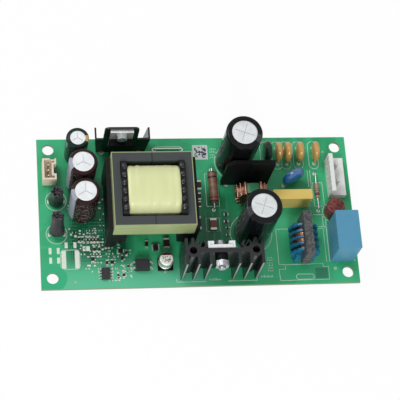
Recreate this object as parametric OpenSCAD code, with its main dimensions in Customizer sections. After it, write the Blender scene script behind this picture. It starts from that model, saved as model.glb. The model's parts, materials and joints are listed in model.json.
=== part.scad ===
// Open frame power supply: one circuit board with its parts soldered in.
// X runs along the board, Y across it towards the rear heatsink, Z up.
// The origin lies under the middle of the board, level with the cut lead tips.

/* [Board] */
// Length of the board
board_l = 140; // [139:1:160]
// Width of the board
board_w = 70; // [70:1:90]
// Thickness of the board
board_t = 1.6; // [1:0.1:2.4]
// Distance of the mounting holes from both board edges
mount_inset = 5; // [4:0.5:5.5]
// Diameter of the mounting holes
mount_hole_d = 5; // [3:0.1:5.2]
// Length of lead left below the board
lead_out = 2; // [1.2:0.1:3]
// Radial clearance of a lead in its drilled hole
drill_gap = 0.12; // [0.05:0.01:0.25]
// Width of the solder fillet round a lead
solder_fillet = 0.7; // [0.4:0.05:0.75]
// Radius of a thin component lead
wire_r = 0.35; // [0.25:0.05:0.5]
// Height at which radial parts stand clear of the board
stand = 0.4; // [0.2:0.1:1]

/* [Bulk capacitors] */
// Middle of each bulk capacitor
bulk_at = [[17.45, 22.8], [23, -11.1]];
// Diameter over the sleeve
bulk_d = 16; // [12.5:0.5:16]
// Height above the board
bulk_h = 33.5; // [25:0.5:40]
// Lead pitch
bulk_pitch = 7.5; // [5:0.5:7.5]
// Thickness of every shrink sleeve
sleeve_t = 0.3; // [0.2:0.05:0.5]
// Share of a bulk can's radius that the sleeve leaves open on top
bulk_open = 0.69; // [0.6:0.01:0.8]

/* [Output capacitors] */
// Middle of each output capacitor, X from the output end of the board
output_cap_in = [[18.4, 14.1], [18.9, 0.6]];
// Diameter over the sleeve
output_cap_d = 12.4; // [10:0.1:12.5]
// Height above the board
output_cap_h = 24; // [16:0.5:30]
// Middle of the auxiliary capacitor, X from the output end
aux_cap_in = [16.8, 27];
// Diameter of the auxiliary capacitor
aux_cap_d = 10; // [8:0.1:12]
// Height of the auxiliary capacitor
aux_cap_h = 20; // [12:0.5:25]
// Open share of the output cans' radius
output_open = 0.75; // [0.6:0.01:0.8]
// Open share of the auxiliary can's radius
aux_open = 0.66; // [0.6:0.01:0.8]
// Lead pitch of these three capacitors
output_cap_pitch = 5; // [3.5:0.5:5]

/* [Transformer] */
// Middle of the transformer
trafo_at = [-22.5, 0.1];
// Length of the core over both halves
core_l = 34.2; // [34.2:0.1:36]
// Width of the core across its three legs
core_w = 33; // [32.4:0.1:35]
// Thickness of the core
core_t = 10.7; // [10:0.1:13]
// Height of the core's underside above the board
core_z = 16.3; // [14:0.1:18]
// Width of an outer leg
core_leg = 3.9; // [3:0.1:4.2]
// Thickness of the core's end webs
core_web = 3.2; // [2.5:0.1:3.4]
// Width of the centre leg
core_centre = 8.6; // [7:0.1:9.6]
// Height of the taped winding above the core
winding_rise = 4; // [2.5:0.1:5]
// Thickness of the tape round the core
tape_t = 0.35; // [0.1:0.05:0.5]
// Wall of the bobbin's tube
bobbin_wall = 1; // [0.8:0.1:1.5]
// Thickness of the bobbin's flanges
bobbin_flange = 2.5; // [1.6:0.1:2.8]
// How far the pin rails stand out past the core's ends
rail_over = 2.4; // [1:0.1:2.6]
// Height of the rails' underside above the board
rail_z = 5.5; // [4:0.1:7]
// Pins along each rail
trafo_pins = 6; // [4:1:6]
// Pitch of the transformer's pins
trafo_pitch = 5; // [4:0.1:5]

/* [Front heatsink] */
// Middle of the heatsink's web
sink_at = [7.05, -26];
// Length over the outer fins
sink_l = 34; // [33:0.2:35]
// Height of the extrusion
sink_h = 20.5; // [20.3:0.1:25]
// Thickness of the web
sink_web = 2; // [1.5:0.1:2.4]
// Thickness of a fin
sink_fin = 1.3; // [0.9:0.1:1.6]
// Reach of the front fins from the middle of the web
sink_front = 6.3; // [5:0.1:7]
// Reach of the rear prongs from the middle of the web
sink_rear = 5.7; // [4.5:0.1:6]
// Outer radius of the pin bosses at the ends of the web
boss_r = 3; // [2.6:0.1:3.1]
// Bore radius of the pin bosses
boss_bore = 1.6; // [1.2:0.1:1.8]
// Bore radius of the open screw channels behind the web
channel_bore = 1.3; // [1:0.1:1.4]

/* [Rear heatsink] */
// Middle of the rear heatsink's front face
rear_sink_at = [-34.2, 28.5];
// Width over the tops of the folded wings
rear_sink_l = 24.3; // [22:0.1:25]
// Shift of the wings from the middle of the raised plate
wing_shift = 1.1; // [0:0.1:1.4]
// Narrowing of each wing towards the board
wing_splay = 1.3; // [0:0.1:1.6]
// Height of the wings
wing_h = 14; // [10:0.5:18]
// Depth of the folded wings
wing_d = 5.8; // [4.5:0.1:6]
// Width of the raised middle plate
rear_plate_l = 15; // [12:0.1:16]
// Height of the raised middle plate
rear_plate_h = 25.4; // [25:0.1:32]
// Thickness of the sheet
sheet_t = 0.8; // [0.7:0.1:1.5]

/* [Transistors] */
// Sideways shift of the front transistor from the middle of its heatsink
front_transistor_shift = -1.15; // [-1.3:0.05:-1]
// Height of the front transistor's body above the board
front_transistor_z = 4; // [3:0.1:4.4]
// Height of the rear transistor's body above the board
rear_transistor_z = 8.2; // [7:0.1:9]
// Width of a transistor
transistor_w = 10; // [9.6:0.1:10.2]
// Height of a transistor's moulded body
transistor_body_h = 9.2; // [8.8:0.1:9.4]
// Thickness of a transistor over body and tab
transistor_t = 4.5; // [4:0.1:4.8]
// Height of the tab's top above the body's underside
tab_h = 15.8; // [15.2:0.1:16]
// Thickness of the metal tab
tab_t = 1.3; // [1:0.1:1.4]
// Pitch of a transistor's legs
leg_pitch = 2.54; // [2.4:0.01:2.6]
// Radius of the screws' shanks
screw_r = 1.5; // [1.2:0.05:1.6]
// Radius of the screws' heads
screw_head_r = 2.75; // [2.4:0.05:3]
// Width of the front screw's nut across the flats
nut_af = 5.5; // [4.5:0.1:6]
// Length of the insulating bush on the front screw
bush_l = 3; // [1.5:0.1:3.2]
// Sheet thickness of the insulating cap behind the front transistor
cap_sheet = 0.5; // [0.3:0.05:0.6]
// Thickness of the insulating cap's side walls
cap_side = 0.8; // [0.5:0.05:0.85]

/* [Bridge and toroid] */
// Middle of the bridge rectifier
bridge_at = [21.2, 12.25];
// Length, thickness and height of the rectifier's body
bridge_size = [20.8, 2.3, 23.7];
// Height of the rectifier's body above the board
bridge_z = 1; // [0.8:0.1:5]
// Length of the cut corner
bridge_cut = 3; // [1.5:0.1:4]
// Pitch of the rectifier's leads
bridge_pitch = 5.08; // [4:0.01:5.4]
// Middle of the toroidal choke
toroid_at = [23.1, 5];
// Outer radius of the toroid's core
toroid_r = 6.4; // [5.5:0.1:7]
// Inner radius of the toroid's core
toroid_bore = 3.6; // [3.4:0.1:4]
// Thickness of the toroid's core
toroid_t = 4.6; // [3.5:0.1:5]
// Radius of the toroid's wire
toroid_wire_r = 0.5; // [0.3:0.05:0.5]
// Turns of each of the two windings
toroid_turns = 7; // [4:1:7]

/* [Line filter] */
// Middle of the line filter choke
filter_at = [44.9, -17.55];
// Length of the filter's closed core
filter_core_l = 19.9; // [18:0.1:22]
// Height of the filter's core above the board
filter_core_top = 18; // [17.8:0.1:20]
// Thickness of the filter's core legs
filter_leg = 3.7; // [3:0.1:4]
// Radius of the bobbin's flanges
filter_flange_r = 6.5; // [6:0.1:7]
// Thickness of the bobbin's flanges
filter_flange_t = 0.9; // [0.6:0.05:1.2]
// Winding sections between the flanges
filter_sections = 4; // [2:1:6]
// Outer radius of the wound wire
filter_winding_r = 5.6; // [4.5:0.1:5.9]

/* [Suppression parts] */
// Middle of the X capacitor, X from the mains end of the board
x_cap_in = [7.2, -16.3];
// Length, width and height of the X capacitor
x_cap_size = [10.4, 17.8, 17];
// Middle of the film capacitor
film_cap_at = [41.2, 3];
// Length, width and height of the film capacitor
film_cap_size = [17.6, 4.6, 10.6];
// Lead pitch of both boxed capacitors
box_cap_pitch = 15; // [10:0.5:15]
// X places of the four disc capacitors, from the mains end
y_cap_in = [32.2, 28, 22.4, 15.3];
// Y place of the disc capacitors and the thermistor
disc_y = 25.8; // [24:0.1:27]
// Radius of a disc capacitor
y_cap_r = 4.3; // [3.9:0.1:5]
// Thickness of a disc capacitor
y_cap_t = 2.9; // [2:0.1:3.2]
// Lead pitch of the disc capacitors, the thermistor and the varistor
disc_pitch = 7.5; // [5:0.5:7.5]
// X place of the thermistor
thermistor_x = 32.6; // [31:0.1:33]
// Radius of the thermistor
thermistor_r = 4.7; // [4:0.1:5]
// Thickness of the thermistor
thermistor_t = 3.6; // [2.5:0.1:4]
// Middle of the varistor
varistor_at = [43, 13];
// Radius of the varistor
varistor_r = 5.4; // [4.5:0.1:6]
// Thickness of the varistor
varistor_t = 4.2; // [3:0.1:4.6]
// Angle of the varistor from the board's length
varistor_turn = 27; // [0:1:45]
// Middle of the fuse, X from the mains end
fuse_in = [9.2, -1.8];
// Radius of the fuse
fuse_r = 4.05; // [3.5:0.05:4.25]
// Height of the fuse above the board
fuse_h = 8; // [6:0.1:9]
// Lead pitch of the fuse
fuse_pitch = 5.08; // [4:0.01:5.5]

/* [Axial parts] */
// Middle of the bleeder resistor, X from the mains end
bleeder_in = [15.6, 8];
// Length and radius of the bleeder resistor
bleeder_size = [6.4, 1.1];
// Lead pitch of the bleeder resistor
bleeder_pitch = 17.8; // [12:0.1:18]
// Middle of the power resistor
power_res_at = [7.2, 9.9];
// Length and radius of the power resistor
power_res_size = [14.4, 2.15];
// Lead pitch of the power resistor
power_res_pitch = 19.2; // [19.2:0.1:19.6]
// Middle of the jumper wire
jumper_at = [-11.7, 29.6];
// Length of the jumper wire
jumper_l = 12.2; // [8:0.1:14]
// Height of the jumper wire over the board
jumper_z = 0.5; // [0.3:0.1:1.5]

/* [Headers] */
// Middle of the output header, X from the output end
output_header_in = [4.95, 18];
// Length, width and height of the output header
output_header_size = [6, 10, 7];
// Wall of the output header
header_wall = 0.8; // [0.6:0.05:1]
// Pins of the output header
output_pins = 3; // [2:1:3]
// Pin pitch of the output header
output_pitch = 2.5; // [2:0.01:2.54]
// Width of an output pin
output_pin_w = 0.64; // [0.5:0.01:0.8]
// Middle of the mains header, X from the mains end
mains_header_in = [6.65, 14.1];
// Length, width and height of the mains header over its locking wall
mains_header_size = [7.7, 18, 9];
// Thickness of the mains header's base
mains_base_t = 3.4; // [2.5:0.1:4]
// Thickness of the mains header's locking wall
mains_wall_t = 1.4; // [1:0.1:1.8]
// Pitch of the two mains pins
mains_pitch = 7.92; // [7.5:0.01:8.2]
// Width of a mains pin
mains_pin_w = 1.14; // [0.9:0.01:1.2]

/* [Output chokes] */
// Middle of each output choke, X from the output end
choke_in = [[7.6, 5.7], [7.5, -9.6]];
// Backward lean of each output choke
choke_lean = [0, 24];
// Radius of a choke at the board
choke_r = 3.5; // [3:0.1:3.6]
// Radius of a choke at the top
choke_top_r = 2.1; // [1.8:0.1:2.6]
// Height of a choke
choke_h = 10.5; // [8:0.1:12]
// Lead pitch of a choke
choke_pitch = 5; // [4:0.1:5.2]

/* [Surface mounted parts] */
// Middle of the surface mounted can capacitor
smd_can_at = [-16.2, -24.4];
// Radius of the can
smd_can_r = 3.1; // [2.5:0.05:3.15]
// Height of the can capacitor
smd_can_h = 6.6; // [5:0.1:8]
// Width of its base
smd_base_w = 6.6; // [6.4:0.1:6.8]
// Middle of the controller chip
chip_at = [-42.2, -28.7];
// Middle of the optocoupler
opto_at = [-26.3, -25.4];

/* [Hidden] */
$fn = 48;
e = 0.01;
deck = lead_out + board_t;

// Puts a part on the top face of the board
module on_board(at, z = 0) translate([at[0], at[1], deck + z]) children();

// Box with its middle at x = 0 and y = 0
module block(size, z = 0) translate([-size[0] / 2, -size[1] / 2, z]) cube(size);

// Box with rounded upright edges, made of true cylinders
module soft_block(size, r, z = 0) {
    block([size[0] - 2 * r, size[1], size[2]], z);
    block([size[0], size[1] - 2 * r, size[2]], z);
    for (sx = [-1, 1], sy = [-1, 1])
        translate([sx * (size[0] / 2 - r), sy * (size[1] / 2 - r), z]) cylinder(h = size[2], r = r);
}

// Places of two leads: middle, span as [x, y], lead radius and top above the board
function pair(at, span, r, top) =
    [for (s = [-0.5, 0.5]) [at[0] + s * span[0], at[1] + s * span[1], r, top]];
// Places along a row of pins, centred on a point
function row_x(at, count, pitch, r, top) =
    [for (i = [0 : count - 1]) [at[0] + (i - (count - 1) / 2) * pitch, at[1], r, top]];
function row_y(at, count, pitch, r, top) =
    [for (i = [0 : count - 1]) [at[0], at[1] + (i - (count - 1) / 2) * pitch, r, top]];
// Points of a quarter round, from angle a0 to a1
function arc(c, r, a0, a1, n = 5) =
    [for (i = [0 : n]) let (a = a0 + (a1 - a0) * i / n) [c[0] + r * cos(a), c[1] + r * sin(a)]];

corner_holes = [for (sx = [-1, 1], sy = [-1, 1])
    [sx * (board_l / 2 - mount_inset), sy * (board_w / 2 - mount_inset)]];

// Place given from the output end (-X) or from the mains end (+X) of the board
function from_output(p) = [p[0] - board_l / 2, p[1]];
function from_mains(p) = [board_l / 2 - p[0], p[1]];

// ---- places that several pieces share ----
output_cap_at = [for (p = output_cap_in) from_output(p)];
aux_cap_at = from_output(aux_cap_in);
output_header_at = from_output(output_header_in);
choke_at = [for (p = choke_in) from_output(p)];
x_cap_at = from_mains(x_cap_in);
fuse_at = from_mains(fuse_in);
bleeder_at = from_mains(bleeder_in);
mains_header_at = from_mains(mains_header_in);
y_cap_at = [for (x = y_cap_in) from_mains([x, disc_y])];
filter_z = filter_flange_r + 0.05;
filter_window = filter_core_l - 2 * filter_leg;
filter_end_r = filter_flange_r - 2.6;
filter_foot = [8, 2.2, filter_z - filter_end_r - 0.3];
filter_pitch = 7;
toroid_z = toroid_r + 2 * toroid_wire_r;
toroid_first = 30;
toroid_last = 150;
toroid_wire_x = (toroid_r + toroid_wire_r) * sin(toroid_last);
toroid_wire_z = toroid_z + (toroid_r + toroid_wire_r) * cos(toroid_last);
rail_x = core_l / 2 + rail_over;
rail_pin_x = rail_x - 1.6;
choke_lift = choke_r * sin(choke_lean[1]);
leg_y = 2.7;
bridge_lead_r = 0.5;
bulk_lead_r = 0.4;
boss_x = sink_l / 2 - sink_fin / 2 - boss_r + 0.2;
boss_tail_r = 0.6;
rear_tab = [1.6, sheet_t];
rear_tab_x = rear_sink_l / 2 - 3.8;
front_tab_y = sink_at[1] + sink_web / 2 + cap_sheet;
front_transistor_x = sink_at[0] + front_transistor_shift;
leg_w = 0.8;
leg_t = 0.5;
leg_r = sqrt(leg_w * leg_w + leg_t * leg_t) / 2;
disc_foot = 1.2;
mains_pin_x = mains_header_at[0] - 0.35;
output_pin_x = output_header_at[0] - 0.4;
smd_lead_w = 0.4;
varistor_span = [disc_pitch * cos(varistor_turn), disc_pitch * sin(varistor_turn)];

// Wires that run straight up into their part: x, y, radius, top above the board
wires = concat(
    pair(bulk_at[0], [0, bulk_pitch], bulk_lead_r, stand),
    pair(bulk_at[1], [0, bulk_pitch], bulk_lead_r, stand),
    pair(output_cap_at[0], [0, output_cap_pitch], wire_r, stand),
    pair(output_cap_at[1], [0, output_cap_pitch], wire_r, stand),
    pair(aux_cap_at, [0, output_cap_pitch], wire_r, stand),
    pair(x_cap_at, [0, box_cap_pitch], bulk_lead_r, stand),
    pair(film_cap_at, [box_cap_pitch, 0], wire_r, stand),
    pair(fuse_at, [0, fuse_pitch], wire_r, stand),
    [for (p = y_cap_at) each pair(p, [0, disc_pitch], wire_r, disc_foot)],
    pair([thermistor_x, disc_y], [0, disc_pitch], wire_r, disc_foot),
    pair(varistor_at, varistor_span, wire_r, disc_foot),
    row_x(bridge_at, 4, bridge_pitch, bridge_lead_r, bridge_z),
    pair(choke_at[0], [choke_pitch, 0], wire_r, stand),
    pair(choke_at[1], [choke_pitch, 0], wire_r, choke_lift + stand - wire_r * tan(choke_lean[1])),
    [for (s = [-1, 1]) each pair([filter_at[0], filter_at[1] + s * (filter_window / 2 - filter_foot[1] / 2)],
        [filter_pitch, 0], bulk_lead_r, 0.2)],
    [for (s = [-1, 1]) each pair([toroid_at[0] + s * toroid_wire_x, toroid_at[1]], [0, 3.2],
        toroid_wire_r, toroid_wire_z - toroid_wire_r)]);

// Feet of the bent leads of the axial parts and the jumper
axial_feet = concat(
    pair(bleeder_at, [0, bleeder_pitch], wire_r, 0),
    pair(power_res_at, [0, power_res_pitch], wire_r, 0),
    pair(jumper_at, [jumper_l, 0], wire_r, 0));

// Pins and legs that belong to other pieces
pin_feet = concat(
    row_y([trafo_at[0] - rail_pin_x, trafo_at[1]], trafo_pins, trafo_pitch, bulk_lead_r, 0),
    row_y([trafo_at[0] + rail_pin_x, trafo_at[1]], trafo_pins, trafo_pitch, bulk_lead_r, 0),
    row_x([front_transistor_x, front_tab_y + leg_y], 3, leg_pitch, leg_r, 0),
    row_x([rear_sink_at[0], rear_sink_at[1] - leg_y], 3, leg_pitch, leg_r, 0),
    [for (s = [-1, 1]) [sink_at[0] + s * boss_x, sink_at[1], boss_tail_r, 0]],
    [for (s = [-1, 1]) [rear_sink_at[0] + wing_shift + s * rear_tab_x, rear_sink_at[1] + sheet_t / 2,
        norm(rear_tab) / 2, 0]],
    row_y([output_pin_x, output_header_at[1]], output_pins, output_pitch, output_pin_w * 0.71, 0),
    row_y([mains_pin_x, mains_header_at[1]], 2, mains_pitch, mains_pin_w * 0.71, 0));

all_feet = concat(wires, axial_feet, pin_feet);

// ---- board, solder and leads ----

module circuit_board() color("seagreen") difference() {
    translate([0, 0, lead_out]) block([board_l, board_w, board_t]);
    for (p = corner_holes)
        translate([p[0], p[1], 0]) cylinder(h = deck + 1, r = mount_hole_d / 2);
    for (p = all_feet)
        translate([p[0], p[1], 0]) cylinder(h = deck + 1, r = p[2] + drill_gap, $fn = 24);
}

module solder_joints() color("silver") for (p = all_feet)
    translate([p[0], p[1], 0.3]) difference() {
        cylinder(h = lead_out - 0.3, r1 = p[2] + 0.15, r2 = p[2] + solder_fillet, $fn = 24);
        translate([0, 0, -1]) cylinder(h = lead_out + 2, r = p[2], $fn = 24);
    }

// Lead of an axial part: up from the board, round a bend and in to the body's end
module axial_lead(reach, rise, r) {
    bend = 2 * r;
    cylinder(h = deck + rise - bend, r = r, $fn = 20);
    translate([0, 0, deck + rise]) rotate([-90, 0, 0])
        translate([0, 0, bend]) cylinder(h = reach - bend, r = r, $fn = 20);
    translate([0, bend, deck + rise - bend]) rotate([90, 0, -90])
        rotate_extrude(angle = 90) translate([bend, 0]) circle(r = r, $fn = 20);
}

// Both leads of an axial part along Y
module axial_pair(at, pitch, body_l, rise) for (s = [-1, 1])
    translate([at[0], at[1] - s * pitch / 2, 0]) rotate([0, 0, s > 0 ? 0 : 180])
        axial_lead((pitch - body_l) / 2, rise, wire_r);

module component_leads() color("silver") {
    for (w = wires) translate([w[0], w[1], 0]) cylinder(h = deck + w[3], r = w[2], $fn = 24);
    axial_pair(bleeder_at, bleeder_pitch, bleeder_size[0], bleeder_size[1] + stand);
    axial_pair(power_res_at, power_res_pitch, power_res_size[0], power_res_size[1] + stand);
}

module jumper_wire() color("silver") for (s = [-1, 1])
    translate([jumper_at[0] - s * jumper_l / 2, jumper_at[1], 0]) rotate([0, 0, s > 0 ? -90 : 90])
        axial_lead(jumper_l / 2, jumper_z + wire_r, wire_r);

// ---- electrolytic capacitors ----

// Can with its crimped neck, rounded shoulder and scored vent on top
module can(d, h, open, vent_ways, vent_turn) {
    r = d / 2 - sleeve_t;
    round = 0.9;
    neck = 0.7;
    neck_z = 2.6;
    top = h - sleeve_t;
    difference() {
        rotate_extrude() polygon(concat(
            [[0, stand], [r - neck, stand], [r, stand + neck], [r, neck_z],
             [r - neck, neck_z + neck], [r - neck, neck_z + 1.5 * neck], [r, neck_z + 2.5 * neck]],
            arc([r - round, top - round], round, 0, 90),
            [[0, top]]));
        for (i = [0 : vent_ways - 1]) rotate([0, 0, 360 * i / vent_ways + vent_turn])
            translate([0, -0.12, top - 0.2]) cube([r * open * 0.8, 0.24, 1]);
    }
}

// Shrink sleeve over a can, turned in over its shoulder
module sleeve(d, h, open) {
    r = d / 2;
    round = 0.9;
    rotate_extrude() polygon(concat(
        [[r - sleeve_t, stand + 1], [r, stand + 1]],
        arc([r - sleeve_t - round, h - sleeve_t - round], round + sleeve_t, 0, 90),
        [[r * open, h], [r * open, h - sleeve_t]],
        arc([r - sleeve_t - round, h - sleeve_t - round], round, 90, 0)));
}

// ---- transformer ----

// One E half: end web, two outer legs and the centre leg, open towards x = 0
module e_half() difference() {
    translate([0, -core_w / 2, core_z]) cube([core_l / 2, core_w, core_t]);
    for (s = [-1, 1])
        translate([-1, s * (core_centre / 2 + core_w / 2 - core_leg) / 2, core_z - 1])
            block([2 * (core_l / 2 - core_web + 1), core_w / 2 - core_leg - core_centre / 2, core_t + 2]);
}

core_gap = 0.15;
flange_x = core_l / 2 - core_web - 0.2;
winding_l = 2 * (flange_x - bobbin_flange);
core_mid = core_z + core_t / 2;
tube = [core_centre + 2 * core_gap + 2 * bobbin_wall, core_t + 2 * core_gap + 2 * bobbin_wall];
winding_size = [core_w - 2 * core_leg - 2.6, core_t + 2 * winding_rise];
winding_round = 7.5;

// Rail with its feet and upstand along one end of the bobbin
module pin_rail() {
    inner = flange_x - bobbin_flange;
    foot = 3.3;
    wall = rail_over - tape_t - 0.1;
    translate([inner, -core_w / 2, rail_z]) cube([rail_x - inner, core_w, core_z - rail_z]);
    translate([rail_x - wall, -core_w / 2, rail_z]) cube([wall, core_w, core_mid - rail_z]);
    for (s = [-1, 1]) scale([1, s, 1]) linear_extrude(rail_z + e)
        polygon([[rail_x - foot - 2, core_w / 2 - 2], [rail_x - foot, core_w / 2],
            [rail_x, core_w / 2], [rail_x, core_w / 2 - foot], [rail_x - 2, core_w / 2 - foot - 2],
            [rail_x - foot - 2, core_w / 2 - foot - 2]]);
}

module transformer_bobbin() color("#1b1b1d") on_board(trafo_at) difference() {
    union() {
        translate([0, 0, core_mid]) rotate([90, 0, 90])
            translate([0, 0, -flange_x]) block([tube[0], tube[1], 2 * flange_x]);
        for (s = [-1, 1]) scale([s, 1, 1]) {
            translate([flange_x - bobbin_flange / 2, 0, core_mid]) rotate([90, 0, 90])
                soft_block([core_w - 2 * core_leg - 0.6, core_t + winding_rise, bobbin_flange], 2,
                    -bobbin_flange / 2);
            pin_rail();
        }
    }
    translate([0, 0, core_mid]) rotate([90, 0, 90])
        translate([0, 0, -flange_x - 1])
        block([core_centre + 2 * core_gap, core_t + 2 * core_gap, 2 * flange_x + 2]);
    for (p = row_y([0, 0], trafo_pins, trafo_pitch, 0, 0), s = [-1, 1])
        translate([s * rail_pin_x, p[1], -1]) cylinder(h = rail_z + 4, r = bulk_lead_r, $fn = 24);
}

module transformer_winding() color("#dfe3a0") on_board(trafo_at, core_mid) rotate([90, 0, 90])
    difference() {
        soft_block([winding_size[0], winding_size[1], winding_l], winding_round, -winding_l / 2);
        block([tube[0], tube[1], winding_l + 2], -winding_l / 2 - 1);
    }

module transformer_tape() color("#b9c486") on_board(trafo_at) difference() {
    block([core_l + 2 * tape_t, core_w + 2 * tape_t, core_t], core_z);
    block([core_l, core_w, core_t + 2], core_z - 1);
}

module transformer_pins() color("silver") translate([trafo_at[0], trafo_at[1], 0])
    for (p = row_y([0, 0], trafo_pins, trafo_pitch, 0, 0), s = [-1, 1])
        translate([s * rail_pin_x, p[1], 0]) cylinder(h = deck + rail_z + 3, r = bulk_lead_r, $fn = 24);

// ---- heatsinks and transistors ----

// Flat bar in plan with round ends, from one point to another along Y
module fin(x, y0, y1, t) {
    translate([x - t / 2, min(y0, y1)]) square([t, abs(y1 - y0)]);
    translate([x, y1]) circle(r = t / 2, $fn = 24);
}

// Right half of the extrusion's section
module sink_half() {
    outer_x = sink_l / 2 - sink_fin / 2;
    inner_x = boss_x - boss_r + sink_fin / 2;
    channel_r = channel_bore + 0.85;
    channel_x = boss_x - boss_r - channel_r + 1.3;
    tip = sink_fin / 2;
    difference() {
        union() {
            translate([0, -sink_web / 2]) square([boss_x, sink_web]);
            translate([boss_x, 0]) circle(r = boss_r);
            fin(outer_x, 0, tip - sink_front, sink_fin);
            fin(inner_x, 0, tip - sink_front, sink_fin);
            fin(inner_x - 5, 0, tip - sink_front, sink_fin);
            fin(outer_x, 0, sink_rear - tip, sink_fin);
            fin(boss_x, 0, sink_rear - tip, sink_fin);
            translate([channel_x, channel_r + sink_web / 2 - 0.5]) circle(r = channel_r);
        }
        translate([boss_x, 0]) circle(r = boss_bore);
        translate([channel_x, channel_r + sink_web / 2 - 0.5]) {
            circle(r = channel_bore);
            translate([-0.7, 0]) square([1.4, 2 * channel_r]);
        }
    }
}

module sink_screw_hole(z) translate([front_transistor_shift, 0, z])
    rotate([90, 0, 0]) cylinder(h = 20, r = screw_r, center = true);

tab_hole_z = tab_h - 2.9;

module front_heatsink() color("#232428") on_board(sink_at) difference() {
    linear_extrude(sink_h) {
        sink_half();
        mirror([1, 0]) sink_half();
    }
    sink_screw_hole(front_transistor_z + tab_hole_z);
}

boss_plug = 5;
module heatsink_pins() color("silver") for (s = [-1, 1])
    translate([sink_at[0] + s * boss_x, sink_at[1], 0]) {
        cylinder(h = deck + e, r = boss_tail_r, $fn = 24);
        translate([0, 0, deck]) cylinder(h = boss_plug, r = boss_bore);
    }

// Sheet folded into a shallow channel, with a taller plate in its middle
module rear_heatsink() color("#1d1d20") {
    corner = 2;
    top = rear_sink_l / 2;
    foot = top - wing_splay;
    on_board(rear_sink_at) difference() {
        union() {
            translate([0, sheet_t / 2, 0]) {
                block([rear_plate_l, sheet_t, rear_plate_h - corner], stand);
                block([rear_plate_l - 2 * corner, sheet_t, rear_plate_h - stand], stand);
            }
            for (s = [-1, 1]) translate([s * (rear_plate_l / 2 - corner), sheet_t, rear_plate_h - corner])
                rotate([90, 0, 0]) cylinder(h = sheet_t, r = corner);
            translate([wing_shift, sheet_t, 0]) rotate([90, 0, 0]) linear_extrude(sheet_t)
                polygon([[-foot, stand], [foot, stand], [top, wing_h], [-top, wing_h]]);
            for (s = [-1, 1]) translate([wing_shift, wing_d, 0]) scale([s, 1, 1]) rotate([90, 0, 0])
                linear_extrude(wing_d) polygon([[foot - sheet_t, stand], [foot, stand],
                    [top, wing_h], [top - sheet_t, wing_h]]);
        }
        translate([0, 0, rear_transistor_z + tab_hole_z])
            rotate([90, 0, 0]) cylinder(h = 10, r = screw_r, center = true);
    }
    for (s = [-1, 1]) translate([rear_sink_at[0] + wing_shift + s * rear_tab_x,
        rear_sink_at[1] + sheet_t / 2, 0]) block([rear_tab[0], rear_tab[1], deck + stand + e]);
}

// Moulded body of a transistor; its tab's back lies on y = 0 and it faces -Y
module transistor_body(z) {
    body_t = transistor_t - tab_t;
    translate([0, -tab_t - body_t / 2, z]) difference() {
        block([transistor_w, body_t, transistor_body_h]);
        translate([0, -body_t / 2, transistor_body_h / 2 - 1.5]) rotate([90, 0, 0])
            cylinder(h = 0.4, r = 0.8, center = true, $fn = 24);
    }
}

// Tab and three legs of the same transistor
module transistor_frame(z) {
    difference() {
        translate([0, -tab_t / 2, z]) block([transistor_w, tab_t, tab_h]);
        translate([0, 0, z + tab_hole_z]) rotate([90, 0, 0])
            cylinder(h = 10, r = screw_r, center = true);
    }
    for (i = [-1 : 1]) translate([i * leg_pitch, -leg_y, 0]) {
        block([leg_w, leg_t, deck + z], -deck);
        block([1.3, leg_t, 1.6], z - 1.6);
    }
}

module at_front_transistor() translate([front_transistor_x, front_tab_y, deck])
    rotate([0, 0, 180]) children();

module at_rear_transistor() on_board(rear_sink_at) children();

// Cap of insulating sheet behind the front transistor, with a wall at each side and a lip over its tab
module insulating_cap() color("#eef0ee") difference() {
    depth = 3.3;
    side_gap = 0.05;
    width = transistor_w + 2 * (cap_side + side_gap);
    lip = [2.6, 1.3];
    lip_z = front_transistor_z + transistor_body_h + 0.3;
    union() {
        at_front_transistor() translate([0, cap_sheet / 2, 0])
            block([width, cap_sheet, sink_h - 2.4], 2);
        for (s = [-1, 1]) at_front_transistor()
            translate([s * (width - cap_side) / 2, -(depth - cap_sheet) / 2, 0])
            block([cap_side, depth - cap_sheet, sink_h - 2.4], 2);
        for (s = [-1, 1]) at_front_transistor()
            translate([s * (width - lip[0]) / 2, cap_sheet - depth + lip[1] / 2, lip_z])
            block([lip[0], lip[1], sink_h - 0.4 - lip_z]);
    }
    at_front_transistor() translate([0, 0, front_transistor_z + tab_hole_z])
        rotate([90, 0, 0]) cylinder(h = 10, r = screw_r, center = true);
}

// Bush between the web and the nut, in front of the front heatsink
module insulating_bush() color("#18181a")
    on_board([front_transistor_x, sink_at[1] - sink_web / 2], front_transistor_z + tab_hole_z)
    rotate([90, 0, 0]) difference() {
        cylinder(h = bush_l, r = screw_head_r);
        translate([0, 0, -1]) cylinder(h = bush_l + 2, r = screw_r);
    }

nut_t = 2.4;
head_t = 2.2;
screw_end = 1;

// Pan head screw along -Y with a cross recess; its head's seat lies on y = 0
module screw(grip) {
    rotate([90, 0, 0]) cylinder(h = grip, r = screw_r);
    difference() {
        rotate([-90, 0, 0]) cylinder(h = head_t, r1 = screw_head_r, r2 = screw_head_r - 0.6);
        for (a = [0, 90]) rotate([0, a, 0]) translate([0, head_t, 0])
            cube([2.8, 1.6, 0.7], center = true);
    }
}

// Hexagon nut on a screw along Y, its first face on y = 0, running towards -Y
module nut() rotate([90, 30, 0]) difference() {
    cylinder(h = nut_t, r = nut_af / sqrt(3), $fn = 6);
    translate([0, 0, -1]) cylinder(h = nut_t + 2, r = screw_r);
}

front_grip = tab_t + cap_sheet + sink_web + bush_l + nut_t + screw_end;
rear_grip = tab_t + sheet_t + screw_end;

module heatsink_screws() color("gainsboro") {
    on_board([front_transistor_x, front_tab_y + tab_t], front_transistor_z + tab_hole_z)
        screw(front_grip);
    on_board([rear_sink_at[0], rear_sink_at[1] - tab_t], rear_transistor_z + tab_hole_z)
        rotate([0, 0, 180]) screw(rear_grip);
}

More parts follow.
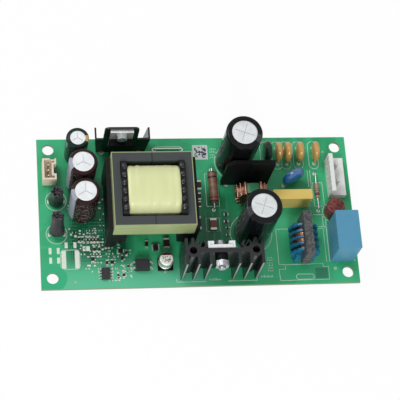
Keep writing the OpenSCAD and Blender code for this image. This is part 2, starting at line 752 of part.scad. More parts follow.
module heatsink_nut() color("gainsboro")
    on_board([front_transistor_x, sink_at[1] - sink_web / 2 - bush_l], front_transistor_z + tab_hole_z)
    nut();

// ---- bridge rectifier and toroid ----

module bridge_rectifier() color("#141414") on_board(bridge_at, bridge_z) {
    l = bridge_size[0];
    t = bridge_size[1];
    h = bridge_size[2];
    step = 0.6;
    difference() {
        translate([0, t / 2, 0]) rotate([90, 0, 0]) linear_extrude(t) polygon([
            [-l / 2, 0], [l / 2, 0], [l / 2, h], [bridge_cut - l / 2, h], [-l / 2, h - bridge_cut]]);
        translate([-l / 2, -t / 2, h / 2]) cube([l, 2 * step, h + 2], center = true);
    }
}

module toroid_core() color("#2e7d4f") on_board(toroid_at, toroid_z) rotate([90, 0, 0]) difference() {
    cylinder(h = toroid_t, r = toroid_r, center = true);
    cylinder(h = toroid_t + 2, r = toroid_bore, center = true);
}

// One turn of wire round the core's section, standing at radius 0 of the toroid
module turn() {
    y = toroid_t / 2 + toroid_wire_r;
    z0 = toroid_bore - toroid_wire_r;
    z1 = toroid_r + toroid_wire_r;
    for (z = [z0, z1]) translate([0, 0, z]) rotate([90, 0, 0])
        cylinder(h = 2 * y, r = toroid_wire_r, center = true, $fn = 16);
    for (s = [-1, 1]) translate([0, s * y, z0]) {
        cylinder(h = z1 - z0, r = toroid_wire_r, $fn = 16);
        for (z = [0, z1 - z0]) translate([0, 0, z]) sphere(r = toroid_wire_r, $fn = 16);
    }
}

module toroid_windings() color("#b5643c") on_board(toroid_at, toroid_z)
    for (s = [-1, 1], i = [0 : toroid_turns - 1])
        rotate([0, s * (toroid_first + (toroid_last - toroid_first) * i / (toroid_turns - 1)), 0]) turn();

// ---- line filter ----

// Closed core standing on edge: the lower leg runs through the bobbin
module line_filter_core() color("#6b6b70") on_board(filter_at) difference() {
    bottom = filter_z - filter_leg / 2;
    block([filter_leg, filter_core_l, filter_core_top - bottom], bottom);
    block([filter_leg + 2, filter_window, filter_core_top - bottom - 2 * filter_leg],
        bottom + filter_leg);
}

filter_pitch_y = (filter_window - 0.2 - filter_flange_t) / filter_sections;
filter_hub_r = filter_leg * 0.71 + 0.7;

module line_filter_bobbin() color("#2f6fa8") on_board(filter_at) {
    difference() {
        union() {
            translate([0, 0, filter_z]) rotate([90, 0, 0])
                cylinder(h = filter_window - 0.2, r = filter_hub_r, center = true);
            for (i = [0 : filter_sections])
                translate([0, (i - filter_sections / 2) * filter_pitch_y, filter_z])
                rotate([90, 0, 0]) cylinder(h = filter_flange_t, r = filter_flange_r, center = true);
            for (s = [-1, 1]) translate([0, s * (filter_window - 0.2 - filter_foot[1]) / 2, 0])
                block(filter_foot + [2, 0, 0], 0.2);
            for (s = [-1, 1], t = [-1, 1])
                translate([s * (filter_leg / 2 + 1.3), t * (filter_window / 2 + 0.6), 0])
                block([2.4, 2, filter_z + 1.5], 0.2);
        }
        translate([0, 0, filter_z]) cube([filter_leg + 0.1, filter_core_l, filter_leg + 0.1], center = true);
        for (a = [-70, -45, 45, 70]) translate([0, 0, filter_z]) rotate([0, a, 0])
            translate([0, 0, filter_flange_r])
            cube([1, filter_core_l, 1.6], center = true);
    }
}

module line_filter_windings() color("#b87333") on_board(filter_at, filter_z)
    for (i = [0 : filter_sections - 1])
        translate([0, (i + 0.5 - filter_sections / 2) * filter_pitch_y, 0]) rotate([90, 0, 0])
        difference() {
            cylinder(h = filter_pitch_y - filter_flange_t - 0.1,
                r = i == 0 || i == filter_sections - 1 ? filter_end_r : filter_winding_r, center = true);
            cylinder(h = filter_pitch_y, r = filter_hub_r, center = true);
        }

// ---- suppression parts ----

// Box capacitor with a rim round its sunk sealing face
module boxed_capacitor(size) difference() {
    soft_block(size, 0.6);
    block([size[0] - 1.6, size[1] - 1.6, stand + 1], -1);
}

// Dipped disc standing on edge in the Y-Z plane, with a run of coating down each lead
module dipped_disc(r, t) {
    rim = 0.45 * t;
    translate([0, 0, disc_foot + r]) rotate([0, 90, 0]) rotate_extrude()
        polygon(concat([[0, -t / 2]], arc([r - rim, 0], rim, -90, 90, 8), [[0, t / 2]]));
    for (s = [-1, 1]) translate([0, s * disc_pitch / 2, disc_foot])
        cylinder(h = r - sqrt(max(0.04, r * r - disc_pitch * disc_pitch / 4)) + 0.8, r1 = wire_r + 0.15,
            r2 = min(wire_r + 0.5, t / 4), $fn = 24);
}

module varistor() color("#2458b0") on_board(varistor_at) rotate([0, 0, varistor_turn - 90])
    dipped_disc(varistor_r, varistor_t);

module thermistor() color("#24382c") on_board([thermistor_x, disc_y])
    dipped_disc(thermistor_r, thermistor_t);

module y_capacitor(i) color("#cf9440") on_board(y_cap_at[i]) dipped_disc(y_cap_r, y_cap_t);

module input_fuse() color("#6b2a26") on_board(fuse_at) rotate_extrude() polygon(concat(
    [[0, stand], [fuse_r, stand]], arc([fuse_r - 0.5, fuse_h - 0.5], 0.5, 0, 90), [[0, fuse_h]]));

// ---- axial resistors ----

// Round body along Y with a bulge at each end cap
module axial_body(at, size) on_board(at, size[1] + stand) rotate([90, 0, 0]) {
    cap_l = size[0] * 0.24;
    cylinder(h = size[0] - 1, r = size[1] * 0.88, center = true);
    for (s = [-1, 1]) translate([0, 0, s * (size[0] - cap_l) / 2]) {
        cylinder(h = cap_l - 0.8, r = size[1], center = true);
        for (t = [-1, 1]) translate([0, 0, t * (cap_l - 0.8) / 2 + (t < 0 ? -0.4 : 0)])
            cylinder(h = 0.4, r1 = t < 0 ? size[1] * 0.8 : size[1], r2 = t < 0 ? size[1] : size[1] * 0.8);
    }
}

// ---- headers ----

module output_header_housing() color("#e8dcc0") on_board(output_header_at) difference() {
    x = output_header_size[0] / 2;
    y = output_header_size[1] / 2;
    h = output_header_size[2];
    floor_t = 1.6;
    jog = [1.2, 4.4];
    block(output_header_size);
    translate([0, 0, floor_t]) difference() {
        block([2 * (x - header_wall), 2 * (y - header_wall), h]);
        translate([x - jog[0] - header_wall, -jog[1] / 2 - header_wall, -1])
            cube([x, jog[1] + 2 * header_wall, h + 2]);
    }
    translate([x - jog[0], -jog[1] / 2, -1]) cube([x, jog[1], h + 2]);
    translate([0.2, y - header_wall - 1, h - 1.4]) cube([x - header_wall, 3, 3]);
    for (p = row_y([-0.4, 0], output_pins, output_pitch, 0, 0))
        translate([p[0], p[1], -1]) block([output_pin_w, output_pin_w, h]);
}

module output_header_pins() color("gold") translate([output_header_at[0], output_header_at[1], 0])
    for (p = row_y([-0.4, 0], output_pins, output_pitch, 0, 0))
        translate([p[0], p[1], 0]) block([output_pin_w, output_pin_w, deck + output_header_size[2] - 1.4]);

module mains_header_housing() color("#eceae2") on_board(mains_header_at) difference() {
    x = mains_header_size[0] / 2;
    y = mains_header_size[1];
    union() {
        block([2 * x, y, mains_base_t]);
        translate([mains_wall_t / 2 - x, 0, 0]) block([mains_wall_t, y, mains_header_size[2]]);
        translate([mains_wall_t - x, 0, 0]) rotate([90, 0, 0]) linear_extrude(y, center = true)
            polygon([[-e, mains_header_size[2]], [-e, mains_header_size[2] - 2.2],
                [0.7, mains_header_size[2] - 0.9], [0.5, mains_header_size[2]]]);
    }
    for (p = row_y([mains_pin_x - mains_header_at[0], 0], 2, mains_pitch, 0, 0))
        translate([p[0], p[1], -1]) block([mains_pin_w, mains_pin_w, mains_header_size[2]]);
    for (i = [-3 : 3]) translate([-x, i * y / 7.5, mains_base_t]) block([0.3, 1, mains_header_size[2]]);
}

module mains_header_pins() color("silver") translate([mains_pin_x, mains_header_at[1], 0])
    for (p = row_y([0, 0], 2, mains_pitch, 0, 0))
        translate([0, p[1], 0]) block([mains_pin_w, mains_pin_w, deck + mains_header_size[2] - 0.6]);

// ---- output chokes ----

// Drum core in a shrink sleeve that draws in towards the open top
module output_choke(i) color("#202224") on_board(choke_at[i], stand)
    translate([0, 0, choke_lift * i]) rotate([-choke_lean[i], 0, 0]) rotate_extrude() polygon([
        [0, 0], [choke_r - 0.4, 0], [choke_r, 0.4], [choke_r - 0.15, 2.4], [choke_top_r + 0.1, choke_h - 2.6],
        [choke_top_r + 0.25, choke_h - 0.5], [choke_top_r, choke_h], [choke_top_r - 0.5, choke_h],
        [choke_top_r - 0.6, choke_h - 0.7], [0, choke_h - 0.7]]);

// ---- surface mounted parts ----

smd_base_t = 1.3;

module smd_capacitor_base() color("#161616") on_board(smd_can_at) linear_extrude(smd_base_t)
    polygon([[-smd_base_w / 2, -smd_base_w / 2], [smd_base_w / 2, -smd_base_w / 2],
        [smd_base_w / 2, smd_base_w / 2 - 1.6], [smd_base_w / 2 - 1.6, smd_base_w / 2],
        [1.6 - smd_base_w / 2, smd_base_w / 2], [-smd_base_w / 2, smd_base_w / 2 - 1.6]]);

module smd_capacitor_can() color("#dcdcdc") on_board(smd_can_at) rotate_extrude() polygon(concat(
    [[0, smd_base_t], [smd_can_r, smd_base_t], [smd_can_r, 1.9], [smd_can_r - 0.35, 2.2],
     [smd_can_r - 0.35, 2.5], [smd_can_r, 2.8]],
    arc([smd_can_r - 0.5, smd_can_h - 0.5], 0.5, 0, 90), [[0, smd_can_h]]));

// Moulded chip body with drafted sides, its long side along Y
module chip_body(size, foot) {
    half = size[0] / 2;
    mid = size[2] / 2;
    rotate([90, 0, 0]) linear_extrude(size[1], center = true) polygon([
        [0.15 - half, foot], [half - 0.15, foot], [half, foot + mid],
        [half - 0.15, foot + size[2]], [0.15 - half, foot + size[2]], [-half, foot + mid]]);
}

chip_size = [3.9, 4.9, 1.45];
opto_size = [6.4, 4.6, 3.2];
chip_foot = 0.15;

module controller_chip() color("#1a1a1c") on_board(chip_at) chip_body(chip_size, chip_foot);
module optocoupler() color("#1a1a1c") on_board(opto_at) chip_body(opto_size, chip_foot);

// Gull wing leads on both sides of a chip, running along Y
module gull_leads(size, count, pitch, reach, w) {
    t = 0.2;
    mid = chip_foot + size[2] / 2;
    for (s = [-1, 1], p = row_y([0, 0], count, pitch, 0, 0))
        scale([s, 1, 1]) translate([size[0] / 2, p[1], 0]) rotate([90, 0, 0])
            linear_extrude(w, center = true) polygon([
                [0, mid - t / 2], [reach * 0.45 - t, mid - t / 2], [reach * 0.45, 0], [reach, 0], [reach, t],
                [reach * 0.45 + t, t], [reach * 0.45, mid + t / 2], [0, mid + t / 2]]);
}

// Two-ended chip parts: x, y, length, width, height, 1 where the length runs along Y
chips = [
    [1.1, 12, 4.4, 2.2, 1, 1], [0.7, 6.6, 3.3, 2.2, 1, 1], [0.4, 2.8, 2.8, 2.2, 1, 1],
    [-0.3, -6.1, 6.2, 2.3, 1.3, 1], [6.3, -6.9, 5.4, 2.8, 1.6, 1], [-15.2, -15.6, 4.8, 2.6, 2, 1],
    [-20, -17.2, 3.4, 2.6, 1.5, 0], [-23.8, -15.4, 3.4, 1.3, 0.9, 1], [12.4, -2.1, 2, 1.2, 0.5, 0],
    [12.2, -5.4, 2, 1.2, 0.5, 0], [12.6, -8.3, 1.6, 0.8, 0.5, 0], [12.5, -11.8, 1.6, 0.8, 0.5, 0],
    [-55, -9.4, 1.6, 0.8, 0.5, 0], [-53.1, -12.6, 2.2, 0.9, 0.5, 1], [-51.6, -12.6, 2.2, 0.9, 0.5, 1],
    [-49.3, -12.9, 2.2, 0.9, 0.5, 1], [-47.8, -12.9, 2.2, 0.9, 0.5, 1], [-46.4, -12.9, 2.2, 0.9, 0.5, 1],
    [-45, -12.9, 2.2, 0.9, 0.5, 1], [-46.6, -17.3, 2.4, 0.9, 0.5, 1], [-44.5, -17.3, 2.4, 0.9, 0.5, 1],
    [-47.5, -21.8, 2.8, 1.4, 0.6, 1], [-36.8, -29.3, 1.6, 0.8, 0.5, 1], [-34.4, -29.3, 2, 1.2, 0.6, 1],
    [-34.7, -21.6, 3, 0.9, 0.5, 1], [-35.3, -18.3, 3.2, 1.3, 0.6, 0], [-32.8, -19.1, 2.2, 0.9, 0.5, 1],
    [-39.2, -23.4, 2.6, 1.2, 0.6, 1], [-41.4, -23.6, 2.4, 0.9, 0.5, 1], [-32.3, -25.4, 1.6, 0.8, 0.5, 1]];

chip_end = 0.18;

module chip_body_of(c) on_board(c) rotate([0, 0, 90 * c[5]])
    block([c[2] * (1 - 2 * chip_end), c[3], c[4]]);

module chip_ends_of(c) on_board(c) rotate([0, 0, 90 * c[5]]) for (s = [-1, 1])
    translate([s * c[2] * (1 - chip_end) / 2, 0, 0]) block([c[2] * chip_end, c[3], c[4]]);

module smd_bodies() color("#2a2522") for (c = chips) chip_body_of(c);

module smd_metal() color("silver") {
    for (c = chips) chip_ends_of(c);
    on_board(chip_at) gull_leads(chip_size, 4, 1.27, 1.1, smd_lead_w);
    on_board(opto_at) gull_leads(opto_size, 2, 2.54, 1.6, 2 * smd_lead_w);
    on_board(smd_can_at) for (s = [-1, 1]) translate([0, s * (smd_base_w / 2 + 0.45), 0])
        block([0.9, 0.9, 0.25]);
}

circuit_board();
solder_joints();
component_leads();
jumper_wire();
mains_header_housing();
mains_header_pins();
input_fuse();
color("#62a3c9") on_board(x_cap_at) boxed_capacitor(x_cap_size);  // x_capacitor
line_filter_core();
line_filter_bobbin();
line_filter_windings();
varistor();
thermistor();
y_capacitor(0);  // y_capacitor_1
y_capacitor(1);  // y_capacitor_2
y_capacitor(2);  // y_capacitor_3
y_capacitor(3);  // y_capacitor_4
color("tan") axial_body(bleeder_at, bleeder_size);  // bleeder_resistor
color("#e3c566") on_board(film_cap_at) boxed_capacitor(film_cap_size);  // film_capacitor
bridge_rectifier();
toroid_core();
toroid_windings();
color("#d9dcdf") on_board(bulk_at[0]) can(bulk_d, bulk_h, bulk_open, 4, -20);  // bulk_capacitor_1
color("#17181c") on_board(bulk_at[0]) sleeve(bulk_d, bulk_h, bulk_open);  // bulk_sleeve_1
color("#d9dcdf") on_board(bulk_at[1]) can(bulk_d, bulk_h, bulk_open, 4, -20);  // bulk_capacitor_2
color("#17181c") on_board(bulk_at[1]) sleeve(bulk_d, bulk_h, bulk_open);  // bulk_sleeve_2
color("#4b4d50") on_board(trafo_at) mirror([1, 0, 0]) e_half();  // transformer_core_left
color("#4b4d50") on_board(trafo_at) e_half();  // transformer_core_right
transformer_bobbin();
transformer_winding();
transformer_tape();
transformer_pins();
front_heatsink();
heatsink_pins();
rear_heatsink();
color("#1b1b1d") at_front_transistor() transistor_body(front_transistor_z);  // front_transistor_body
color("silver") at_front_transistor() transistor_frame(front_transistor_z);  // front_transistor_frame
color("#1b1b1d") at_rear_transistor() transistor_body(rear_transistor_z);  // rear_transistor_body
color("silver") at_rear_transistor() transistor_frame(rear_transistor_z);  // rear_transistor_frame
insulating_cap();
insulating_bush();
heatsink_screws();
heatsink_nut();
color("#7c4038") axial_body(power_res_at, power_res_size);  // power_resistor
output_header_housing();
output_header_pins();
color("#d9dcdf") on_board(output_cap_at[0]) can(output_cap_d, output_cap_h, output_open, 3, 90);  // output_capacitor_1
color("#4a2326") on_board(output_cap_at[0]) sleeve(output_cap_d, output_cap_h, output_open);  // output_sleeve_1
color("#d9dcdf") on_board(output_cap_at[1]) can(output_cap_d, output_cap_h, output_open, 3, 90);  // output_capacitor_2
color("#4a2326") on_board(output_cap_at[1]) sleeve(output_cap_d, output_cap_h, output_open);  // output_sleeve_2
color("#d9dcdf") on_board(aux_cap_at) can(aux_cap_d, aux_cap_h, aux_open, 3, 90);  // auxiliary_capacitor
color("#1f3d38") on_board(aux_cap_at) sleeve(aux_cap_d, aux_cap_h, aux_open);  // auxiliary_sleeve
output_choke(0);  // output_choke_1
output_choke(1);  // output_choke_2
smd_capacitor_can();
smd_capacitor_base();
controller_chip();
optocoupler();
smd_bodies();
smd_metal();
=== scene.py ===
import json
import math
import random

import bpy
from mathutils import Matrix, Vector

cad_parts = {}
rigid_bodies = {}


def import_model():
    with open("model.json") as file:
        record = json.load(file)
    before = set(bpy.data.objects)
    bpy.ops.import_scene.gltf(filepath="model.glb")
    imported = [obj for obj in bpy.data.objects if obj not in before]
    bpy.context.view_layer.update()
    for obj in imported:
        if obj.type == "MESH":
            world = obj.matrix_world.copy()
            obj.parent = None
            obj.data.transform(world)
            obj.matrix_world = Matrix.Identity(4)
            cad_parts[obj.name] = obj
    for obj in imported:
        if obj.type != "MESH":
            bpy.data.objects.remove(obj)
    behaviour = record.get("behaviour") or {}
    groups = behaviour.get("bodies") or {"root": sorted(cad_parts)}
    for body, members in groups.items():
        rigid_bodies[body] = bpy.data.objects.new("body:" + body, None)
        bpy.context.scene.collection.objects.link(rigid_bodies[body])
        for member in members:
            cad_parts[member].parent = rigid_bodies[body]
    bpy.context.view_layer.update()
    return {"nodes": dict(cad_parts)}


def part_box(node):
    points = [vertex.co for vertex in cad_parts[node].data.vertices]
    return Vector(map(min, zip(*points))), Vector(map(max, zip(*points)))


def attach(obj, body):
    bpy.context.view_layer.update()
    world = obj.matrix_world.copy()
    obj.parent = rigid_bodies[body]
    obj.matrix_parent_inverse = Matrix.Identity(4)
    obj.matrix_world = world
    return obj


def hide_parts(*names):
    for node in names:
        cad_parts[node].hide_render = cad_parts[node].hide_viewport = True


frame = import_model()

# ---------------------------------------------------------------------------
# Circuit board: a drilled sheet of glass-filled epoxy, 1.6 mm thick, under a
# green solder mask. Copper areas show through the mask a little lighter, and
# the sawn edges show the laminate.
# ---------------------------------------------------------------------------
MM = 0.001
solid = frame["nodes"]
board_low, board_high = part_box("circuit_board")
DECK = board_high.z
# The front left mounting hole stands in the middle of a round copper area; mm
HOLE_INSET = 5
HOLE_COPPER_R = 6.2
HOLE_AT = (board_low.x + HOLE_INSET * MM, board_low.y + HOLE_INSET * MM, DECK)
# Parts of the board with a look of their own, the front one paler as a painted sheen: X from, X to, Y from, Y
# to in mm
CONTROL_FIELD = (-58.5, -31, -25, 14)
MIDDLE_FIELD = (0, 16, -20, 9)
SHEEN_FIELD = (-66, 4, -44, -25.5)
# Height of one course in the brick texture, in its own units
BRICK_COURSE = 0.25

for leftover in [o for o in bpy.data.objects if o.type in {"CAMERA", "LIGHT"} or o.name == "Cube"]:
    bpy.data.objects.remove(leftover)


def add_node(tree, kind, inputs=None, **settings):
    """Adds a node; each input gets a plain value, or a link where the value is another node's socket."""
    node = tree.nodes.new(kind)
    for label, value in settings.items():
        setattr(node, label, value)
    for label, value in (inputs or {}).items():
        if isinstance(value, bpy.types.NodeSocket):
            tree.links.new(value, node.inputs[label])
        else:
            node.inputs[label].default_value = value
    return node


def new_material(name, colour, roughness, metallic=0.0, specular=0.4, coat=0.0):
    """A Principled material; returns it with its node tree and shader."""
    material = bpy.data.materials.new(name)
    material.use_nodes = True
    shader = material.node_tree.nodes["Principled BSDF"]
    for label, value in (("Base Color", (*colour, 1)), ("Roughness", roughness), ("Metallic", metallic),
            ("Specular IOR Level", specular), ("Coat Weight", coat), ("Coat Roughness", 0.15)):
        shader.inputs[label].default_value = value
    return material, material.node_tree, shader


def add_colour(tree, shader, colour):
    """Gives a shader its colour from a socket."""
    tree.links.new(colour, shader.inputs["Base Color"])


def add_noise(tree, size, stretch=(1, 1, 1), detail=3.0):
    """The object's own coordinates and a noise on them; size in mm."""
    place = add_node(tree, "ShaderNodeTexCoord").outputs["Object"]
    mapping = add_node(tree, "ShaderNodeMapping", {"Vector": place,
        "Scale": [s / (size * MM) for s in stretch]})
    noise = add_node(tree, "ShaderNodeTexNoise", {"Vector": mapping.outputs["Vector"], "Scale": 1.0,
        "Detail": detail})
    return place, noise.outputs["Fac"]


def add_split(tree, vector):
    """The X, Y and Z sockets of a vector."""
    return add_node(tree, "ShaderNodeSeparateXYZ", {"Vector": vector}).outputs


def add_mix(tree, factor, first, second):
    """Mixes two colours, each a plain colour or a socket."""
    first, second = [(*c, 1) if isinstance(c, tuple) else c for c in (first, second)]
    mix = add_node(tree, "ShaderNodeMix", {"Factor": factor, "A": first, "B": second}, data_type="RGBA")
    return mix.outputs["Result"]


def add_math(tree, operation, *values):
    """The result of one step of arithmetic on numbers or sockets."""
    return add_node(tree, "ShaderNodeMath", dict(enumerate(values)), operation=operation).outputs["Value"]


def add_product(tree, *values):
    """Multiplies sockets together."""
    result = values[0]
    for value in values[1:]:
        result = add_math(tree, "MULTIPLY", result, value)
    return result


def add_step(tree, value, edge, softness):
    """Rises from 0 to 1 as a value passes an edge; mm for a place, thousandths for a share."""
    ramp = add_node(tree, "ShaderNodeMapRange", {"Value": value, "From Min": (edge - softness) * MM,
        "From Max": (edge + softness) * MM})
    return ramp.outputs["Result"]


def add_between(tree, value, low, high, softness):
    """1 between two edges and 0 outside them, with edges as in add_step."""
    rise, fall = [add_step(tree, value, edge, softness) for edge in (low, high)]
    return add_math(tree, "SUBTRACT", rise, fall)


def add_field(tree, axes, x0, x1, y0, y1, softness):
    """1 inside a rectangle of the board, falling to 0 outside it; all in mm."""
    return add_product(tree, add_between(tree, axes["X"], x0, x1, softness),
        add_between(tree, axes["Y"], y0, y1, softness))


def add_cells(tree, place, size, edge, softness, randomness=1.0):
    """Angular cells of some mm, of which those past an edge, in thousandths, are 1 and the others 0."""
    cells = add_node(tree, "ShaderNodeTexVoronoi", {"Vector": place, "Scale": 1 / (size * MM),
        "Randomness": randomness}, distance="CHEBYCHEV")
    pick = add_node(tree, "ShaderNodeSeparateColor", {"Color": cells.outputs["Color"]})
    return add_step(tree, pick.outputs["Red"], edge, softness)


def add_relief(tree, shader, height, depth, strength=0.6):
    """Fine relief from a height socket; depth in mm."""
    relief = add_node(tree, "ShaderNodeBump", {"Height": height, "Strength": strength,
        "Distance": depth * MM})
    tree.links.new(relief.outputs["Normal"], shader.inputs["Normal"])


def dress(material, *names):
    """Gives CAD nodes their material."""
    for name in names:
        solid[name].data.materials.clear()
        solid[name].data.materials.append(material)


def add_tracks(tree, place, pitch, turn):
    """Fine parallel copper runs with breaks in them, as a factor; pitch in mm, turn in degrees."""
    mapping = add_node(tree, "ShaderNodeMapping", {"Vector": place, "Rotation": (0, 0, math.radians(turn))})
    runs = add_node(tree, "ShaderNodeTexBrick", {"Vector": mapping.outputs["Vector"],
        "Scale": BRICK_COURSE / (pitch * MM), "Brick Width": 1.3, "Mortar Size": 0.045, "Mortar Smooth": 0.4})
    return runs.outputs["Fac"]


def solder_mask():
    """Green mask: lighter over copper areas, dark with fine runs under the small parts, paler in front as a
    painted sheen.
    """
    material, tree, shader = new_material("solder_mask", (0.012, 0.25, 0.10), 0.30, specular=0.22, coat=0.06)
    place, broad = add_noise(tree, 22, detail=1.5)
    axes = add_split(tree, place)
    copper = add_cells(tree, place, 6.5, 560, 30)
    mask = add_mix(tree, copper, (0.012, 0.265, 0.092), (0.022, 0.350, 0.135))
    mask = add_mix(tree, broad, mask, (0.060, 0.475, 0.235))
    controls = add_field(tree, axes, *CONTROL_FIELD, 2.5)
    middle = add_field(tree, axes, *MIDDLE_FIELD, 3.5)
    mask = add_mix(tree, controls, mask, (0.004, 0.080, 0.034))
    mask = add_mix(tree, middle, mask, (0.007, 0.155, 0.055))
    for field, pitch, turn, patch in ((controls, 0.95, 90, 5), (controls, 1.55, 0, 7), (middle, 3.3, 90, 6)):
        _, patches = add_noise(tree, patch, detail=1.0)
        runs = add_tracks(tree, place, pitch, turn)
        shown = add_product(tree, runs, field, add_step(tree, patches, 500, 60))
        mask = add_mix(tree, shown, mask, (0.022, 0.23, 0.115))
    # Painted sheen: the front of the board is paler
    mask = add_mix(tree, add_field(tree, axes, *SHEEN_FIELD, 7), mask, (0.105, 0.49, 0.29))
    from_hole = add_node(tree, "ShaderNodeVectorMath", {0: place, 1: HOLE_AT}, operation="DISTANCE")
    outside = add_step(tree, from_hole.outputs["Value"], HOLE_COPPER_R, 0.3)
    mask = add_mix(tree, outside, (0.034, 0.40, 0.19), mask)
    facing = add_split(tree, add_node(tree, "ShaderNodeNewGeometry").outputs["Normal"])
    add_colour(tree, shader, add_mix(tree, add_math(tree, "ABSOLUTE", facing["Z"]), (0.16, 0.24, 0.10), mask))
    add_relief(tree, shader, copper, 0.02, 0.4)
    return material


dress(solder_mask(), "circuit_board")

# ---------------------------------------------------------------------------
# Leads and solder: tinned copper wire goes through the board and is held
# below by a bright cone of solder.
# ---------------------------------------------------------------------------


def mottled(name, colour, roughness, second=None, size=2.0, bump=0.0, stretch=(1, 1, 1), speckled=False,
        **more):
    """A material that wanders between two tones, or is speckled with them; size and bump in mm."""
    material, tree, shader = new_material(name, colour, roughness, **more)
    second = second or tuple(c * 0.82 for c in colour)
    _, noise = add_noise(tree, size, stretch)
    share = add_step(tree, noise, 500, 70) if speckled else noise
    add_colour(tree, shader, add_mix(tree, share, colour, second))
    if bump:
        add_relief(tree, shader, noise, bump)
    return material


dress(mottled("tinned_wire", (0.60, 0.61, 0.59), 0.30, second=(0.46, 0.46, 0.45), size=1.5, metallic=1.0),
    "component_leads", "jumper_wire", "transformer_pins", "heatsink_pins")
dress(mottled("bright_solder", (0.62, 0.63, 0.64), 0.24, second=(0.46, 0.47, 0.48), size=0.8, bump=0.05,
    metallic=1.0), "solder_joints")

# ---------------------------------------------------------------------------
# Pads: copper lands freed of the mask and tinned, as discs round every lead
# on both faces, and as rectangles for surface mounted parts.
# ---------------------------------------------------------------------------
PAD_THICKNESS = 0.035
PAD_SIDES = 20
# How far a disc reaches past its lead on top, and how much further where the solder lies below
PAD_MARGIN = 0.5
SOLDERED_MARGIN = 0.45
# Height below which a cone's points count as its tip, size of the cells that sort them, rim of solder
TIP_HEIGHT = 0.5
TIP_CELL = 0.4
TIP_RIM = 0.15
pad_tin = mottled("tinned_pad", (0.78, 0.82, 0.76), 0.36, second=(0.46, 0.54, 0.45), size=0.7, bump=0.05,
    metallic=0.3)


def node_tree(name, inputs):
    """A geometry tree with Geometry, the named inputs and Finish; returns it with its inputs' sockets."""
    tree = bpy.data.node_groups.new(name, "GeometryNodeTree")
    for label, kind in (("Geometry", "Geometry"), *inputs, ("Finish", "Material")):
        tree.interface.new_socket(label, in_out="INPUT", socket_type="NodeSocket" + kind)
    tree.interface.new_socket("Geometry", in_out="OUTPUT", socket_type="NodeSocketGeometry")
    return tree, add_node(tree, "NodeGroupInput").outputs


def finish_tree(tree, given, result):
    """Ends a tree in Realize Instances and Set Material."""
    real = add_node(tree, "GeometryNodeRealizeInstances", {"Geometry": result})
    dressed = add_node(tree, "GeometryNodeSetMaterial", {"Geometry": real.outputs["Geometry"],
        "Material": given["Finish"]})
    add_node(tree, "NodeGroupOutput", {"Geometry": dressed.outputs["Geometry"]})


def set_on_points(tree, given, shape, **where):
    """Sets a shape on each point of the seed, turned and scaled as asked, and finishes the tree."""
    spread = add_node(tree, "GeometryNodeInstanceOnPoints", {"Points": given["Geometry"], "Instance": shape,
        **where})
    finish_tree(tree, given, spread.outputs["Instances"])


def point_vector(tree, name):
    """The vector that each point of the seed carries under a name."""
    return add_node(tree, "GeometryNodeInputNamedAttribute", {"Name": name},
        data_type="FLOAT_VECTOR").outputs["Attribute"]


def mesh_object(name, points, edges=(), faces=()):
    """A linked object at the origin; its points are in mm from the board's middle and top."""
    mesh = bpy.data.meshes.new(name)
    mesh.from_pydata([(x * MM, y * MM, z * MM + DECK) for x, y, z in points], edges, faces)
    made = bpy.data.objects.new(name, mesh)
    bpy.context.scene.collection.objects.link(made)
    return made


def give_vectors(seed, name, vectors):
    """Writes one vector on each point of a seed object."""
    carried = seed.data.attributes.new(name, "FLOAT_VECTOR", "POINT")
    for i, vector in enumerate(vectors):
        carried.data[i].vector = vector


def grow(name, seed, tree, values):
    """Runs a geometry tree on a seed object and keeps the result as one plain mesh on the root body."""
    modifier = seed.modifiers.new("grow", "NODES")
    modifier.node_group = tree
    for item in tree.interface.items_tree:
        if item.item_type == "SOCKET" and item.in_out == "INPUT" and item.name in values:
            modifier[item.identifier] = values[item.name]
    graph = bpy.context.evaluated_depsgraph_get()
    mesh = bpy.data.meshes.new_from_object(seed.evaluated_get(graph))
    bpy.data.objects.remove(seed)
    made = bpy.data.objects.new(name, mesh)
    bpy.context.scene.collection.objects.link(made)
    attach(made, "root")


pad_tree, pad = node_tree("pad", [("Sides", "Int"), ("Reach", "Float"), ("Turn", "Float")])
land = add_node(pad_tree, "GeometryNodeMeshCylinder", {"Vertices": pad["Sides"], "Radius": pad["Reach"],
    "Depth": 1.0})
land_turn = add_node(pad_tree, "ShaderNodeCombineXYZ", {"Z": pad["Turn"]})
turned_land = add_node(pad_tree, "GeometryNodeTransform", {"Geometry": land.outputs["Mesh"],
    "Rotation": land_turn.outputs["Vector"]})
set_on_points(pad_tree, pad, turned_land.outputs["Geometry"], Scale=point_vector(pad_tree, "pad_size"))


def lead_places():
    """Middle and radius in mm of every lead that comes out below, found from the tips of the solder cones."""
    cells = {}
    for v in solid["solder_joints"].data.vertices:
        if v.co.z < TIP_HEIGHT * MM:
            x, y = v.co.x / MM, v.co.y / MM
            cells.setdefault((round(x / TIP_CELL), round(y / TIP_CELL)), []).append((x, y))
    places = []
    while cells:
        todo, found = [next(iter(cells))], []
        while todo:
            cell = todo.pop()
            if cell in cells:
                found += cells.pop(cell)
                todo += [(cell[0] + i, cell[1] + j) for i in (-1, 0, 1) for j in (-1, 0, 1)]
        xs, ys = [p[0] for p in found], [p[1] for p in found]
        radius = (max(xs) - min(xs)) / 2 - TIP_RIM
        places.append(((min(xs) + max(xs)) / 2, (min(ys) + max(ys)) / 2, radius))
    return places


def lay_pads(name, pads, sides, reach, turn):
    """Lays pads given as (x, y, size along X, size along Y, middle height) in mm."""
    seed = mesh_object("pad_seed", [(x, y, z) for x, y, _, _, z in pads])
    give_vectors(seed, "pad_size", [(w * MM, h * MM, PAD_THICKNESS * MM) for _, _, w, h, _ in pads])
    grow(name, seed, pad_tree, {"Sides": sides, "Reach": reach, "Turn": turn, "Finish": pad_tin})


